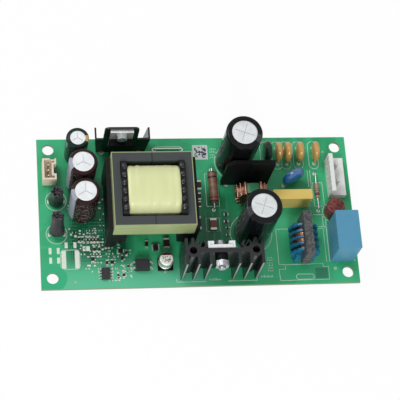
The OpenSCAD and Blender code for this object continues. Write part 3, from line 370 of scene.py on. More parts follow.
above = PAD_THICKNESS / 2
below = (board_low.z - DECK) / MM - PAD_THICKNESS / 2
discs = []
for x, y, r in lead_places():
    for z, reach in ((above, r + PAD_MARGIN), (below, r + PAD_MARGIN + SOLDERED_MARGIN)):
        discs.append((x, y, reach, reach, z))
lay_pads("lead_pads", discs, PAD_SIDES, 1.0, 0.0)

# Lands of parts that were left off the board: X, Y, size along X, size along Y
open_lands = [
    (-65.7, -17.6, 1.2, 2.8), (-62.2, -17.6, 1.2, 2.8), (-65.6, -22, 1.2, 2.7), (-62.2, -22, 1.2, 2.7),
    (-58.7, -15.1, 1.3, 2.7), (-54.9, -15.1, 1.3, 2.7), (-59.9, -21.7, 1.9, 8.2), (-54.2, -21.7, 1.9, 8.2),
    (-49.3, -16.8, 1.6, 2.2), (-51, -16.8, 1.2, 2.2), (-49.2, -24.6, 1.6, 0.8), (-43, -17.3, 0.9, 0.7),
    (-54.9, -9.2, 0.9, 0.6), (-54.5, -11, 1, 1), (-56.4, -10.2, 0.8, 0.8), (-36.4, -30.6, 1.4, 0.9),
    (-32.6, -27.6, 0.8, 0.8), (-33.6, -29.6, 0.8, 0.8), (-31.3, -29.6, 0.8, 0.8), (-38, -20.8, 0.8, 0.8),
    (-36.6, -26.2, 0.9, 0.7), (-34.6, -27.2, 0.9, 0.7), (-34.2, -25.2, 0.8, 0.8), (-49.2, -9.6, 0.8, 0.6),
    (-46, -9.4, 0.8, 0.6), (-52.6, -9.8, 0.8, 0.6), (-50.9, -10.2, 0.8, 0.6), (-44.6, -11, 0.8, 0.6)]
# Middles of the small parts whose lands show past both ends, with the size and place of those lands
chip_middles = [(-53.1, -12.6), (-51.6, -12.6), (-49.3, -12.9), (-47.8, -12.9), (-46.4, -12.9), (-45, -12.9),
    (-46.6, -17.3), (-44.5, -17.3), (-47.5, -21.8), (-41.4, -23.6), (-39.2, -23.4), (-36.8, -29.3),
    (-34.4, -29.3), (-34.7, -21.6), (-32.8, -19.1)]
CHIP_LAND = (0.95, 0.8)
CHIP_LAND_OUT = 1.15
# Middles of the rings printed for the output chokes, with the lands beside them
CHOKE_RINGS = ((-62.4, 5.6), (-62.6, -9.8))
CHOKE_LAND = (1.0, 1.6)
CHOKE_LAND_OUT = 3.3
CHOKE_LAND_FORWARD = 0.4
SMALL_PITCH = 1.36
# Grids of scattered small lands: first X and Y, columns, rows and the share that is there
scattered = ((-52.4, -19.4, 13, 9, 0.62), (-40.6, -31.6, 8, 11, 0.55), (-50.6, -27.4, 6, 6, 0.35),
    (-57.0, -7.6, 17, 13, 0.14))
random.seed(3)
lands = list(open_lands)
for x0, y0, columns, rows, share in scattered:
    for column in range(columns):
        for row in range(rows):
            if random.random() < share:
                x = x0 + SMALL_PITCH * column + random.uniform(-0.15, 0.15)
                width = 0.95 if random.random() < 0.3 else 0.5
                lands.append((x, y0 + SMALL_PITCH * row, width, random.uniform(0.4, 0.75)))
for x, y in chip_middles:
    lands += [(x, y + side * CHIP_LAND_OUT, *CHIP_LAND) for side in (-1, 1)]
for x, y in CHOKE_RINGS:
    lands += [(x + side * CHOKE_LAND_OUT, y - CHOKE_LAND_FORWARD, *CHOKE_LAND) for side in (-1, 1)]
lay_pads("open_lands", [(*spot, above) for spot in lands], 4, math.sqrt(0.5), math.pi / 4)

# ---------------------------------------------------------------------------
# Printed legend: white ink screened on the mask, as outlines round the parts.
# It is a film of ink about 0.03 mm thick, laid as narrow strips.
# ---------------------------------------------------------------------------
INK_WIDTH = 0.34
INK_HEIGHT = 0.03
CHOKE_RING_R = 4.5
# Reach of the outline round each dipped disc, from its middle to the sides, front and back
DISC_ASIDE = 2.2
DISC_FRONT = 6.4
DISC_BACK = 7.1
# Groups of printed marks: first X and Y, columns, rows, pitch and height
mark_groups = ((26.0, -31.8, 9, 1, 0.6, 1.2), (29.4, -29.0, 4, 6, 0.6, 0.8), (2.9, -32.6, 9, 1, 0.6, 1.0),
    (7.6, 25.2, 4, 4, 0.8, 0.9), (-48.6, 9.4, 2, 3, 0.8, 0.9))
ink = mottled("white_ink", (0.58, 0.74, 0.62), 0.5, second=(0.38, 0.60, 0.46), size=1.2, specular=0.2)


def ring(x, y, r, steps=36):
    """A circle in mm, closed on its first point."""
    turns = [2 * math.pi * i / steps for i in range(steps + 1)]
    return [(x + r * math.cos(a), y + r * math.sin(a)) for a in turns]


def oblong(x0, y0, x1, y1):
    """A rectangle in mm, closed on its first point."""
    return [(x0, y0), (x1, y0), (x1, y1), (x0, y1), (x0, y0)]


def stadium(x0, y0, x1, y1):
    """A rectangle whose short ends are half rounds."""
    r = min(x1 - x0, y1 - y0) / 2
    corners = ((x1 - r, y1 - r, 0), (x0 + r, y1 - r, 90), (x0 + r, y0 + r, 180), (x1 - r, y0 + r, 270))
    outline = [(cx + r * math.cos(math.radians(a + t)), cy + r * math.sin(math.radians(a + t)))
        for cx, cy, a in corners for t in range(0, 91, 15)]
    return outline + outline[:1]


def middle_of(name):
    """Middle of a CAD node in X and Y, in mm."""
    low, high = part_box(name)
    return (low.x + high.x) / 2 / MM, (low.y + high.y) / 2 / MM


def printed_marks(x0, y0, columns, rows, pitch, tall):
    """Rows of small strokes in place of lettering, which say nothing."""
    strokes = []
    for column in range(columns):
        for row in range(rows):
            x, y = x0 + pitch * column, y0 + 1.5 * tall * row
            strokes.append([(x, y), (x, y + tall * random.uniform(0.4, 1))])
    return strokes


# Rings round the output chokes, the bulk capacitors and the fuse
legend = [ring(x, y, CHOKE_RING_R) for x, y in CHOKE_RINGS]
legend += [ring(*middle_of("bulk_capacitor_2"), 9.3), ring(18.2, 23.2, 9), ring(60.9, -1.9, 4.6)]
# Corners that mark the heatsink's foot
legend += [[(-11.5, -31.6), (-11.5, -33), (1.2, -33)], [(10.9, -33), (23.9, -33), (23.9, -31.8)]]
# The line filter's place, with a stepped block and a slot in front of it
legend += [
    [(34.2, -9.4), (34.2, -25.9), (37, -26.1), (54, -25.9), (54, -27.3), (56.4, -27.3), (56.3, -33.3),
     (34.3, -33.4), (34, -28.2), (37, -28.2), (37, -26.1)],
    [(34.2, -9.4), (55.8, -9.4), (55.8, -25)], stadium(41.5, -33, 49.5, -30.6)]
# Lines between the mains parts, and the places of the resistors, two capacitors and the jumper wire
legend += [
    [(57.3, -4), (57.2, -24.8), (69, -24.6)], [(52, -2.8), (57.3, -2.8)], [(53.8, -8.6), (57.3, -8.6)],
    [(56, -2.8), (56, -8.6)], [(57.4, 12.6), (57.6, 1.2), (53, 1.2), (53, 12.6), (57.4, 12.6)],
    [(51.2, 10.6), (51.2, 18.8)], [(52.4, 9.6), (52.4, 18.8)], oblong(4.2, 2, 9.9, 17.6),
    oblong(33.4, 1.2, 50.9, 6.2), oblong(3.3, -9.9, 9.3, -3.6), stadium(-17.9, 28.5, -5.2, 30.9)]
# Frame with cut corners round the largest open place
legend += [[(-60.2, -17.3), (-54.2, -17.3), (-53.0, -18.6), (-53.0, -24.9), (-54.2, -26.1),
    (-59.9, -26.1), (-61.2, -24.9), (-61.2, -18.6), (-60.2, -17.3)]]
for name in ("y_capacitor_1", "y_capacitor_2", "y_capacitor_3", "y_capacitor_4", "thermistor"):
    x, y = middle_of(name)
    legend.append(stadium(x - DISC_ASIDE, y - DISC_FRONT, x + DISC_ASIDE, y + DISC_BACK))
random.seed(11)
for group in mark_groups:
    legend += printed_marks(*group)
points, edges = [], []
for stroke in legend:
    edges += [(len(points) + i, len(points) + i + 1) for i in range(len(stroke) - 1)]
    points += [(x, y, INK_HEIGHT / 2) for x, y in stroke]

line_tree, line = node_tree("printed_line", [("Width", "Float"), ("Thickness", "Float")])
run = add_node(line_tree, "GeometryNodeMeshToCurve", {"Mesh": line["Geometry"]})
section = add_node(line_tree, "GeometryNodeCurvePrimitiveQuadrilateral", {"Width": line["Width"],
    "Height": line["Thickness"]})
strip = add_node(line_tree, "GeometryNodeCurveToMesh", {"Curve": run.outputs["Curve"],
    "Profile Curve": section.outputs["Curve"], "Fill Caps": True})
finish_tree(line_tree, line, strip.outputs["Mesh"])
grow("printed_legend", mesh_object("legend_seed", points, edges), line_tree,
    {"Width": INK_WIDTH * MM, "Thickness": INK_HEIGHT * MM, "Finish": ink})

# ---------------------------------------------------------------------------
# Printed patches: a square of pale ink with a mottled grey middle, a hatched
# field of darker mask, and three round marks of bare laminate.
# ---------------------------------------------------------------------------


def flat_patch(name, outline, material, height=INK_HEIGHT):
    """A thin closed plate on the board inside an outline that runs anticlockwise, all in mm."""
    outline = outline[:-1]
    n = len(outline)
    corners = [(x, y, 0) for x, y in outline] + [(x, y, height) for x, y in outline]
    sides = [(i, (i + 1) % n, n + (i + 1) % n, n + i) for i in range(n)]
    patch = mesh_object(name, corners, (), sides + [tuple(range(n - 1, -1, -1)), tuple(range(n, 2 * n))])
    patch.data.materials.append(material)
    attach(patch, "root")


def speckled_ink():
    """Dark angular grains on pale ink."""
    material, tree, shader = new_material("patch_speckle", (0.3, 0.3, 0.32), 0.5, specular=0.2)
    place = add_node(tree, "ShaderNodeTexCoord").outputs["Object"]
    grains = add_cells(tree, place, 0.62, 520, 20, randomness=0.55)
    add_colour(tree, shader, add_mix(tree, grains, (0.045, 0.045, 0.060), (0.56, 0.60, 0.61)))
    return material


flat_patch("square_patch", oblong(-0.4, 24.6, 6.4, 31.6),
    mottled("patch_ink", (0.60, 0.65, 0.64), 0.5, second=(0.50, 0.57, 0.55), size=2, specular=0.2))
flat_patch("square_patch_middle", oblong(0.4, 25.4, 5.7, 30.8), speckled_ink(), 2 * INK_HEIGHT)
flat_patch("hatched_patch", oblong(50.3, -32.8, 55.8, -27.9),
    mottled("hatched_mask", (0.020, 0.15, 0.085), 0.45, second=(0.035, 0.25, 0.13), size=0.5,
    stretch=(0.3, 2, 1)))
laminate = mottled("bare_laminate", (0.42, 0.50, 0.28), 0.55, size=1)
for where, x, y, r in (("front", 59.4, -28.3, 0.8), ("back", 59.3, 27.7, 0.5), ("left", -55.4, -32, 0.5)):
    flat_patch(f"round_mark_{where}", ring(x, y, r, 20), laminate)

# ---------------------------------------------------------------------------
# Surface mounted parts: moulded chips and fired ceramic bodies with tinned
# ends, and a small aluminium can on a black base. They are soldered flat to
# the top of the board.
# ---------------------------------------------------------------------------
# The brown ceramic capacitor among the dark ones: X from, X to, Y from, Y to in mm
BROWN_BODY = (3.6, 9, -9.4, -4.2)
CAN_METAL = (0.82, 0.81, 0.79)
# Reach of the marks on the small can's top to the sides, front and back, and where its stripe begins
CAN_MARKS = (1.9, 1.6, 1.0)
CAN_STRIPE_FROM = 1.5
black_moulding = mottled("black_moulding", (0.004, 0.004, 0.0045), 0.42, second=(0.008, 0.008, 0.009),
    size=0.7, bump=0.02, specular=0.06)
dress(black_moulding, "smd_capacitor_base")
dress(mottled("chip_ends", (0.66, 0.69, 0.64), 0.34, second=(0.36, 0.38, 0.35), size=0.6, bump=0.06,
    metallic=0.5), "smd_metal")
dress(mottled("chip_moulding", (0.008, 0.008, 0.010), 0.3, second=(0.040, 0.038, 0.046), size=2.0, bump=0.02,
    specular=0.3), "controller_chip", "optocoupler")


def small_bodies():
    """Nearly black bodies, but for one of brown ceramic."""
    material, tree, shader = new_material("small_part_bodies", (0.008, 0.008, 0.008), 0.3, specular=0.25)
    place, noise = add_noise(tree, 5)
    dark = add_mix(tree, noise, (0.006, 0.006, 0.006), (0.030, 0.020, 0.016))
    brown = add_field(tree, add_split(tree, place), *BROWN_BODY, 0.3)
    add_colour(tree, shader, add_mix(tree, brown, dark, (0.19, 0.070, 0.042)))
    return material


def small_can():
    """Satin aluminium with dark marks and a dark red stripe on its top."""
    material, tree, shader = new_material("small_can_metal", CAN_METAL, 0.36, metallic=0.75)
    place, noise = add_noise(tree, 0.55, detail=1)
    axes = add_split(tree, place)
    x, y = middle_of("smd_capacitor_can")
    aside, front, back = CAN_MARKS
    on_top = add_step(tree, axes["Z"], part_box("smd_capacitor_can")[1].z / MM - 0.1, 0.05)
    marked = add_product(tree, add_step(tree, noise, 540, 30), on_top,
        add_field(tree, axes, x - aside, x + aside, y - front, y + back, 0.1))
    colour = add_mix(tree, marked, CAN_METAL, (0.10, 0.085, 0.085))
    striped = add_product(tree, on_top, add_step(tree, axes["Y"], y + CAN_STRIPE_FROM, 0.08))
    add_colour(tree, shader, add_mix(tree, striped, colour, (0.060, 0.012, 0.014)))
    return material


dress(small_bodies(), "smd_bodies")
dress(small_can(), "smd_capacitor_can")

# ---------------------------------------------------------------------------
# Mains header: white nylon base with a locking wall along one side and two
# square tinned pins.
# ---------------------------------------------------------------------------
dress(mottled("white_nylon", (0.80, 0.81, 0.79), 0.45, second=(0.72, 0.73, 0.70), size=3, bump=0.02,
    specular=0.3), "mains_header_housing")
dress(mottled("dull_tin", (0.58, 0.59, 0.56), 0.35, second=(0.40, 0.41, 0.39), size=1, metallic=0.6),
    "mains_header_pins")

# ---------------------------------------------------------------------------
# Fuse and X capacitor: a round moulded cap of dark red plastic, and a light
# blue box filled with resin from below.
# ---------------------------------------------------------------------------
dress(mottled("fuse_plastic", (0.215, 0.068, 0.060), 0.32, second=(0.120, 0.026, 0.024), size=1.1, bump=0.08,
    speckled=True, specular=0.16), "input_fuse")
dress(mottled("blue_case", (0.080, 0.27, 0.42), 0.42, second=(0.100, 0.30, 0.45), size=5, bump=0.02,
    specular=0.2), "x_capacitor")

# ---------------------------------------------------------------------------
# Line filter: a closed ferrite core with a flanged blue bobbin round its
# lower leg, wound with enamelled copper in sections.
# ---------------------------------------------------------------------------
WIRE_SIDES = 8
COIL_WIRE = 0.5
COIL_STEPS = 40
SECTIONS = 4
TURNS_SEEN = 3
SECTION_WALL = 1.0
# The end sections are wound less deep, and every coil lies a little below the winding's surface
END_SECTION_R = 3.9
LET_IN = 0.12
dress(mottled("filter_ferrite", (0.045, 0.047, 0.049), 0.5, second=(0.110, 0.108, 0.112), size=1.0, bump=0.08,
    speckled=True, specular=0.25), "line_filter_core")
dress(mottled("blue_nylon", (0.008, 0.105, 0.20), 0.2, second=(0.025, 0.23, 0.39), size=1.2, bump=0.3,
    specular=0.35), "line_filter_bobbin")
enamelled = mottled("enamelled_copper", (0.44, 0.24, 0.16), 0.24, second=(0.14, 0.06, 0.04), size=0.7,
    metallic=0.9)
dress(enamelled, "line_filter_windings")


def add_wire(tree, path, radius):
    """A round wire along a curve."""
    section = add_node(tree, "GeometryNodeCurvePrimitiveCircle", {"Resolution": WIRE_SIDES, "Radius": radius})
    return add_node(tree, "GeometryNodeCurveToMesh", {"Curve": path,
        "Profile Curve": section.outputs["Curve"]}).outputs["Mesh"]


coil_tree, coil = node_tree("wound_wire", [("Coil Radius", "Float"), ("Wire Radius", "Float")])
loop = add_node(coil_tree, "GeometryNodeCurvePrimitiveCircle", {"Resolution": COIL_STEPS,
    "Radius": coil["Coil Radius"]})
upright = add_node(coil_tree, "GeometryNodeTransform", {
    "Geometry": add_wire(coil_tree, loop.outputs["Curve"], coil["Wire Radius"]),
    "Rotation": (math.pi / 2, 0, 0)})
set_on_points(coil_tree, coil, upright.outputs["Geometry"])

coil_low, coil_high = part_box("line_filter_windings")
coil_mid = (coil_low + coil_high) / 2
full_r = (coil_high.x - coil_low.x) / 2 / MM
section_pitch = ((coil_high.y - coil_low.y) / MM + SECTION_WALL) / SECTIONS
for section_no in range(SECTIONS):
    radius = END_SECTION_R if section_no in (0, SECTIONS - 1) else full_r
    middle = coil_mid.y / MM + (section_no - (SECTIONS - 1) / 2) * section_pitch
    seats = [(coil_mid.x / MM, middle + (i - (TURNS_SEEN - 1) / 2) * COIL_WIRE, (coil_mid.z - DECK) / MM)
        for i in range(TURNS_SEEN)]
    grow(f"filter_coil_{section_no + 1}", mesh_object("coil_seed", seats), coil_tree,
        {"Coil Radius": (radius - LET_IN) * MM, "Wire Radius": COIL_WIRE / 2 * MM, "Finish": enamelled})

# ---------------------------------------------------------------------------
# Dipped parts: ceramic discs and a metal oxide disc, each dipped in coloured
# epoxy that runs a little down the leads.
# ---------------------------------------------------------------------------
dress(mottled("blue_epoxy", (0.008, 0.085, 0.27), 0.14, second=(0.020, 0.14, 0.38), size=1.8, bump=0.35,
    specular=0.5, coat=0.8), "varistor")
dress(mottled("dark_green_epoxy", (0.012, 0.028, 0.019), 0.22, second=(0.02, 0.042, 0.028), size=2, bump=0.08,
    specular=0.2), "thermistor")
dress(mottled("orange_epoxy", (0.60, 0.37, 0.11), 0.2, second=(0.46, 0.25, 0.055), size=1.6, bump=0.14,
    specular=0.5), "y_capacitor_1", "y_capacitor_2", "y_capacitor_3", "y_capacitor_4")

# ---------------------------------------------------------------------------
# Film capacitor: metallised film in a yellow moulded case, which is filled
# with resin from below.
# ---------------------------------------------------------------------------
dress(mottled("yellow_case", (0.74, 0.56, 0.165), 0.42, second=(0.66, 0.48, 0.135), size=6, bump=0.02,
    specular=0.2), "film_capacitor")

# ---------------------------------------------------------------------------
# Resistors: ceramic rods with end caps under lacquer, with painted colour
# bands round them.
# ---------------------------------------------------------------------------
BAND_BLUR = 0.12


def banded(name, node, base, second, bands):
    """Lacquer with bands across a rod along Y; bands are (from, to, colour), as shares of its length."""
    low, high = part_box(node)
    material, tree, shader = new_material(name, base, 0.34, specular=0.3)
    place, noise = add_noise(tree, 1.2)
    axes = add_split(tree, place)
    colour = add_mix(tree, noise, base, second)
    for start, stop, band in bands:
        edges = [(low.y + (high.y - low.y) * share) / MM for share in (start, stop)]
        colour = add_mix(tree, add_between(tree, axes["Y"], *edges, BAND_BLUR), colour, band)
    add_colour(tree, shader, colour)
    dress(material, node)


banded("red_brown_lacquer", "power_resistor", (0.28, 0.145, 0.105), (0.17, 0.075, 0.055),
    [(0.0, 0.05, (0.05, 0.02, 0.018)), (0.10, 0.17, (0.16, 0.035, 0.03)), (0.30, 0.38, (0.24, 0.16, 0.10)),
    (0.52, 0.60, (0.27, 0.17, 0.09)), (0.79, 0.84, (0.015, 0.010, 0.010)), (0.95, 1.0, (0.04, 0.015, 0.014))])
banded("beige_lacquer", "bleeder_resistor", (0.40, 0.29, 0.22), (0.32, 0.22, 0.16),
    [(0.12, 0.34, (0.15, 0.035, 0.035)), (0.44, 0.50, (0.13, 0.07, 0.05)), (0.60, 0.65, (0.20, 0.12, 0.08))])

# ---------------------------------------------------------------------------
# Bridge rectifier: four diodes moulded into one flat black block, which stands
# upright on four legs.
# ---------------------------------------------------------------------------
dress(black_moulding, "bridge_rectifier")

# ---------------------------------------------------------------------------
# Toroidal choke: a green coated ring that stands on edge, wound on both sides
# with enamelled copper, whose ends are its leads.
# ---------------------------------------------------------------------------
EXTRA_WIRE_R = 0.42
TURN_CORNER_R = 0.6
# Both sides' turns start this many degrees from the top, and two thinner ones stand in every gap
FIRST_TURN = 30
TURN_PITCH = 20
GAPS_PER_SIDE = 6
dress(mottled("green_coating", (0.030, 0.20, 0.085), 0.3, second=(0.05, 0.27, 0.13), size=1.5, specular=0.2),
    "toroid_core")
dress(enamelled, "toroid_windings")

toroid_tree, toroid = node_tree("toroid_turn", [("Turn Width", "Float"), ("Turn Height", "Float"),
    ("Stand Off", "Float"), ("Wire Radius", "Float")])
turn_path = add_node(toroid_tree, "GeometryNodeCurvePrimitiveQuadrilateral", {"Width": toroid["Turn Width"],
    "Height": toroid["Turn Height"]})
turn_corners = add_node(toroid_tree, "GeometryNodeFilletCurve", {"Curve": turn_path.outputs["Curve"],
    "Radius": TURN_CORNER_R * MM})
turn_offset = add_node(toroid_tree, "ShaderNodeCombineXYZ", {"Z": toroid["Stand Off"]})
standing_turn = add_node(toroid_tree, "GeometryNodeTransform", {
    "Geometry": add_wire(toroid_tree, turn_corners.outputs["Curve"], toroid["Wire Radius"]),
    "Translation": turn_offset.outputs["Vector"], "Rotation": (math.pi / 2, 0, math.pi / 2)})
set_on_points(toroid_tree, toroid, standing_turn.outputs["Geometry"],
    Rotation=point_vector(toroid_tree, "turn_heading"))

core_low, core_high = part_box("toroid_core")
core_mid = (core_low + core_high) / 2
core_r = (core_high.x - core_low.x) / 2
bore_r = min(math.hypot(v.co.x - core_mid.x, v.co.z - core_mid.z) for v in solid["toroid_core"].data.vertices)
wire_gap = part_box("toroid_windings")[1].y - core_high.y
headings = [side * (FIRST_TURN + TURN_PITCH * (i + part)) for side in (-1, 1) for i in range(GAPS_PER_SIDE)
    for part in (1 / 3, 2 / 3)]
ring_middle = (*middle_of("toroid_core"), (core_mid.z - DECK) / MM)
turn_seed = mesh_object("turn_seed", [ring_middle] * len(headings))
give_vectors(turn_seed, "turn_heading", [(0, math.radians(heading), 0) for heading in headings])
grow("toroid_extra_turns", turn_seed, toroid_tree, {"Turn Width": core_high.y - core_low.y + wire_gap,
    "Turn Height": core_r - bore_r + wire_gap, "Stand Off": (core_r + bore_r) / 2,
    "Wire Radius": EXTRA_WIRE_R * MM, "Finish": enamelled})

# ---------------------------------------------------------------------------
# Electrolytic capacitors: drawn aluminium cans whose tops are scored to vent,
# in printed shrink sleeves with a stripe on the negative side.
# ---------------------------------------------------------------------------
SCORE_DEPTH = 0.09
PRINT_ROW = 0.95
PRINT_FROM_TOP = 2.2
BRIGHT_CAN = (0.77, 0.80, 0.815)


def can_metal(name, node):
    """Bare aluminium, with painted shade in the scored lines and everywhere below the top face."""
    material, tree, shader = new_material(name, BRIGHT_CAN, 0.34, metallic=1.0)
    place, noise = add_noise(tree, 2.6, detail=6)
    metal = add_mix(tree, noise, BRIGHT_CAN, tuple(c * 0.66 for c in BRIGHT_CAN))
    # Painted shade: all below the top face, the scored lines too, is darker
    face = add_step(tree, add_split(tree, place)["Z"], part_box(node)[1].z / MM - SCORE_DEPTH, 0.05)
    add_colour(tree, shader, add_mix(tree, face, tuple(c * 0.52 for c in BRIGHT_CAN), metal))
    add_relief(tree, shader, noise, 0.05, 0.35)
    dress(material, node)


def printed_sleeve(name, node, film, second, stripe, heading, half_angle, print_ink=None):
    """Shrink film with a stripe down one side, headed in degrees from +X, and rows of bare marks if inked."""
    x, y = middle_of(node)
    material, tree, shader = new_material(name, film, 0.12, specular=0.14)
    place, noise = add_noise(tree, 3)
    height = add_split(tree, place)["Z"]
    outward = place
    steps = (("SUBTRACT", (x * MM, y * MM, 0)), ("MULTIPLY", (1, 1, 0)), ("NORMALIZE", (0, 0, 0)))
    for operation, by in steps:
        outward = add_node(tree, "ShaderNodeVectorMath", {0: outward, 1: by},
            operation=operation).outputs["Vector"]
    turn = math.radians(heading)
    along = add_node(tree, "ShaderNodeVectorMath", {0: outward, 1: (math.cos(turn), math.sin(turn), 0)},
        operation="DOT_PRODUCT").outputs["Value"]
    band = add_step(tree, along, math.cos(math.radians(half_angle)) / MM, 12)
    plain = add_mix(tree, noise, film, second)
    if print_ink:
        rows = add_math(tree, "PINGPONG", height, PRINT_ROW * MM)
        _, marks = add_noise(tree, 0.75, stretch=(1, 1, 0.7), detail=0.5)
        below_top = add_step(tree, height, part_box(node)[1].z / MM - PRINT_FROM_TOP, -0.3)
        inked = add_product(tree, add_step(tree, rows, 0.5, 0.12), below_top, add_step(tree, marks, 545, 25))
        plain = add_mix(tree, inked, plain, print_ink)
    add_colour(tree, shader, add_mix(tree, band, plain, stripe))
    add_relief(tree, shader, noise, 0.12, 0.4)
    dress(material, node)


for which in ("bulk_{}_1", "bulk_{}_2", "output_{}_1", "output_{}_2", "auxiliary_{}"):
    can_metal(which.format("top"), which.format("capacitor"))
for number, heading in ((1, 335), (2, 200)):
    printed_sleeve(f"bulk_sleeve_film_{number}", f"bulk_sleeve_{number}", (0.004, 0.0045, 0.0055),
        (0.007, 0.008, 0.010), (0.045, 0.047, 0.05), heading, 16)
for number, heading in ((1, 188), (2, 198)):
    printed_sleeve(f"output_sleeve_film_{number}", f"output_sleeve_{number}", (0.040, 0.011, 0.014),
        (0.014, 0.005, 0.006), (0.34, 0.34, 0.42), heading, 26, print_ink=(0.17, 0.14, 0.13))
printed_sleeve("auxiliary_sleeve_film", "auxiliary_sleeve", (0.008, 0.034, 0.028), (0.010, 0.018, 0.012),
    (0.46, 0.36, 0.15), 355, 20, print_ink=(0.05, 0.07, 0.04))

# ---------------------------------------------------------------------------
# Output chokes: drum cores in black shrink tube that crumples at the top. The
# second one leans back.
# ---------------------------------------------------------------------------
CHOKE_FOOT_R = 3.5
CHOKE_BEVEL = 0.4
CHOKE_FOLDS = 6
STEPS_PER_FOLD = 12
# Height up the axis, radius and depth of the folds, from the foot over the rim and down inside
CHOKE_STATIONS = ((0, 3.0, 0), (0.4, 3.45, 0), (2.2, 3.3, 0.01), (4.2, 2.75, 0.02), (6.5, 2.6, 0.03),
    (8.8, 2.55, 0.05), (9.9, 2.6, 0.07), (10.35, 2.45, 0.09), (10.5, 2.2, 0.12), (10.3, 1.85, 0.26),
    (9.6, 1.3, 0.42), (9.1, 0.7, 0.42))
choke_tube = mottled("choke_tube", (0.008, 0.008, 0.009), 0.2, second=(0.046, 0.048, 0.052), size=1.1,
    bump=0.6, stretch=(1.6, 1.6, 0.5), specular=0.4)
dress(choke_tube, "output_choke_1", "output_choke_2")


def closed_skin(name, skin_points, per_row, material, replaced):
    """A smooth skin over rows of points with flat ends, in place of a plain solid of the root body."""
    rows = len(skin_points) // per_row
    faces = []
    for row in range(rows - 1):
        for i in range(per_row):
            here, following = row * per_row + i, row * per_row + (i + 1) % per_row
            faces.append((here, following, following + per_row, here + per_row))
    faces += [tuple(range(per_row - 1, -1, -1)), tuple((rows - 1) * per_row + i for i in range(per_row))]
    skin = mesh_object(name, skin_points, (), faces)
    skin.data.materials.append(material)
    for face in skin.data.polygons:
        face.use_smooth = len(face.vertices) == 4
    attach(skin, "root")
    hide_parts(replaced)


def folded_tube(name, node, lean):
    """Shrink tube drawn in to folds at its open top; lean is its tilt to the back, in degrees."""
    low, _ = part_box(node)
    tilt = math.radians(lean)
    foot_x = middle_of(node)[0]
    foot_y = low.y / MM + CHOKE_FOOT_R * math.cos(tilt) - CHOKE_BEVEL * math.sin(tilt)
    foot_z = (low.z - DECK) / MM + (CHOKE_FOOT_R - CHOKE_BEVEL) * math.sin(tilt)
    steps = STEPS_PER_FOLD * CHOKE_FOLDS
    tube_points = []
    for up, r, depth in CHOKE_STATIONS:
        for i in range(steps):
            a = 2 * math.pi * i / steps
            reach = r * (1 + depth * math.cos(CHOKE_FOLDS * a + lean) + 0.3 * depth * math.cos(2 * a + 1))
            u, v = reach * math.cos(a), reach * math.sin(a)
            tube_points.append((foot_x + u, foot_y + v * math.cos(tilt) + up * math.sin(tilt),
                foot_z - v * math.sin(tilt) + up * math.cos(tilt)))
    closed_skin(name, tube_points, steps, choke_tube, node)


folded_tube("choke_tube_1", "output_choke_1", 0)
folded_tube("choke_tube_2", "output_choke_2", 24)

# ---------------------------------------------------------------------------
# Transformer: two ferrite halves closed round a black bobbin; its winding and
# the core are wrapped in polyester tape.
# ---------------------------------------------------------------------------
PARTING_HALF = 0.2
TAPE_LAP = 3.4
WINDING_ROWS = 41
WINDING_CORNER_R = 7.4
# How far the section is drawn in to leave room for the waves
WINDING_INSET = 0.1
END_ROUNDING = 0.5
WAVE_HEIGHT = 0.022
# Middle of the dent from the middle of the winding's top, its depth and its reach
DENT_AT = (0.6, -1.5)
DENT_DEPTH = 0.3
DENT_REACH = 0.9
CREASE_REACH = 0.55
dress(mottled("bobbin_moulding", (0.005, 0.005, 0.006), 0.36, second=(0.012, 0.012, 0.014), size=1.5,
    bump=0.06, specular=0.12), "transformer_bobbin")


def repaint(material, share_of, colour):
    """Lays a second colour over a material; share_of takes its tree and axes and gives the share."""
    tree = material.node_tree
    shader = tree.nodes["Principled BSDF"]
    under = shader.inputs["Base Color"].links[0].from_socket
    axes = add_split(tree, add_node(tree, "ShaderNodeTexCoord").outputs["Object"])
    add_colour(tree, shader, add_mix(tree, share_of(tree, axes), under, colour))


def parting_line(tree, axes):
    """1 on the line where the two halves meet."""
    parting_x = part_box("transformer_core_left")[1].x / MM
    return add_between(tree, axes["X"], parting_x - PARTING_HALF, parting_x + PARTING_HALF, 0.08)


ferrite = mottled("ferrite", (0.054, 0.060, 0.062), 0.6, second=(0.070, 0.077, 0.079), size=0.45, bump=0.03,
    specular=0.1)
repaint(ferrite, parting_line, (0.030, 0.020, 0.022))
dress(ferrite, "transformer_core_left", "transformer_core_right")


def wrapped_tape(name, colour, second):
    """Glossy tape in laps, whose edges show as faint level lines."""
    material, tree, shader = new_material(name, colour, 0.30, specular=0.35, coat=0.1)
    place, noise = add_noise(tree, 6)
    wave = add_math(tree, "PINGPONG", add_split(tree, place)["Z"], TAPE_LAP / 2 * MM)
    film = add_mix(tree, noise, colour, second)
    edge = add_step(tree, wave, 0.12, 0.12)
    add_colour(tree, shader, add_mix(tree, edge, tuple(c * 0.86 for c in colour), film))
    add_relief(tree, shader, noise, 0.25, 0.35)
    return material


dress(wrapped_tape("green_yellow_tape", (0.37, 0.43, 0.20), (0.42, 0.48, 0.235)), "transformer_tape")
yellow_tape = mottled("yellow_tape", (0.64, 0.67, 0.34), 0.3, second=(0.72, 0.75, 0.42), size=5, bump=0.35,
    stretch=(1, 0.6, 0.6), specular=0.3, coat=0.08)


def rounded_section(half_y, half_z, r, per_corner=10):
    """Points of a rounded rectangle, anticlockwise from the right, in the Y-Z plane."""
    outline = []
    for sy, sz, start in ((1, 1, 0), (-1, 1, 90), (-1, -1, 180), (1, -1, 270)):
        for i in range(per_corner + 1):
            a = math.radians(start + 90 * i / per_corner)
            outline.append((sy * (half_y - r) + r * math.cos(a), sz * (half_z - r) + r * math.sin(a)))
    return outline


wound_low, wound_high = [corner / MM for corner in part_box("transformer_winding")]
wound_mid = (wound_low + wound_high) / 2
wound_half = (wound_high - wound_low) / 2
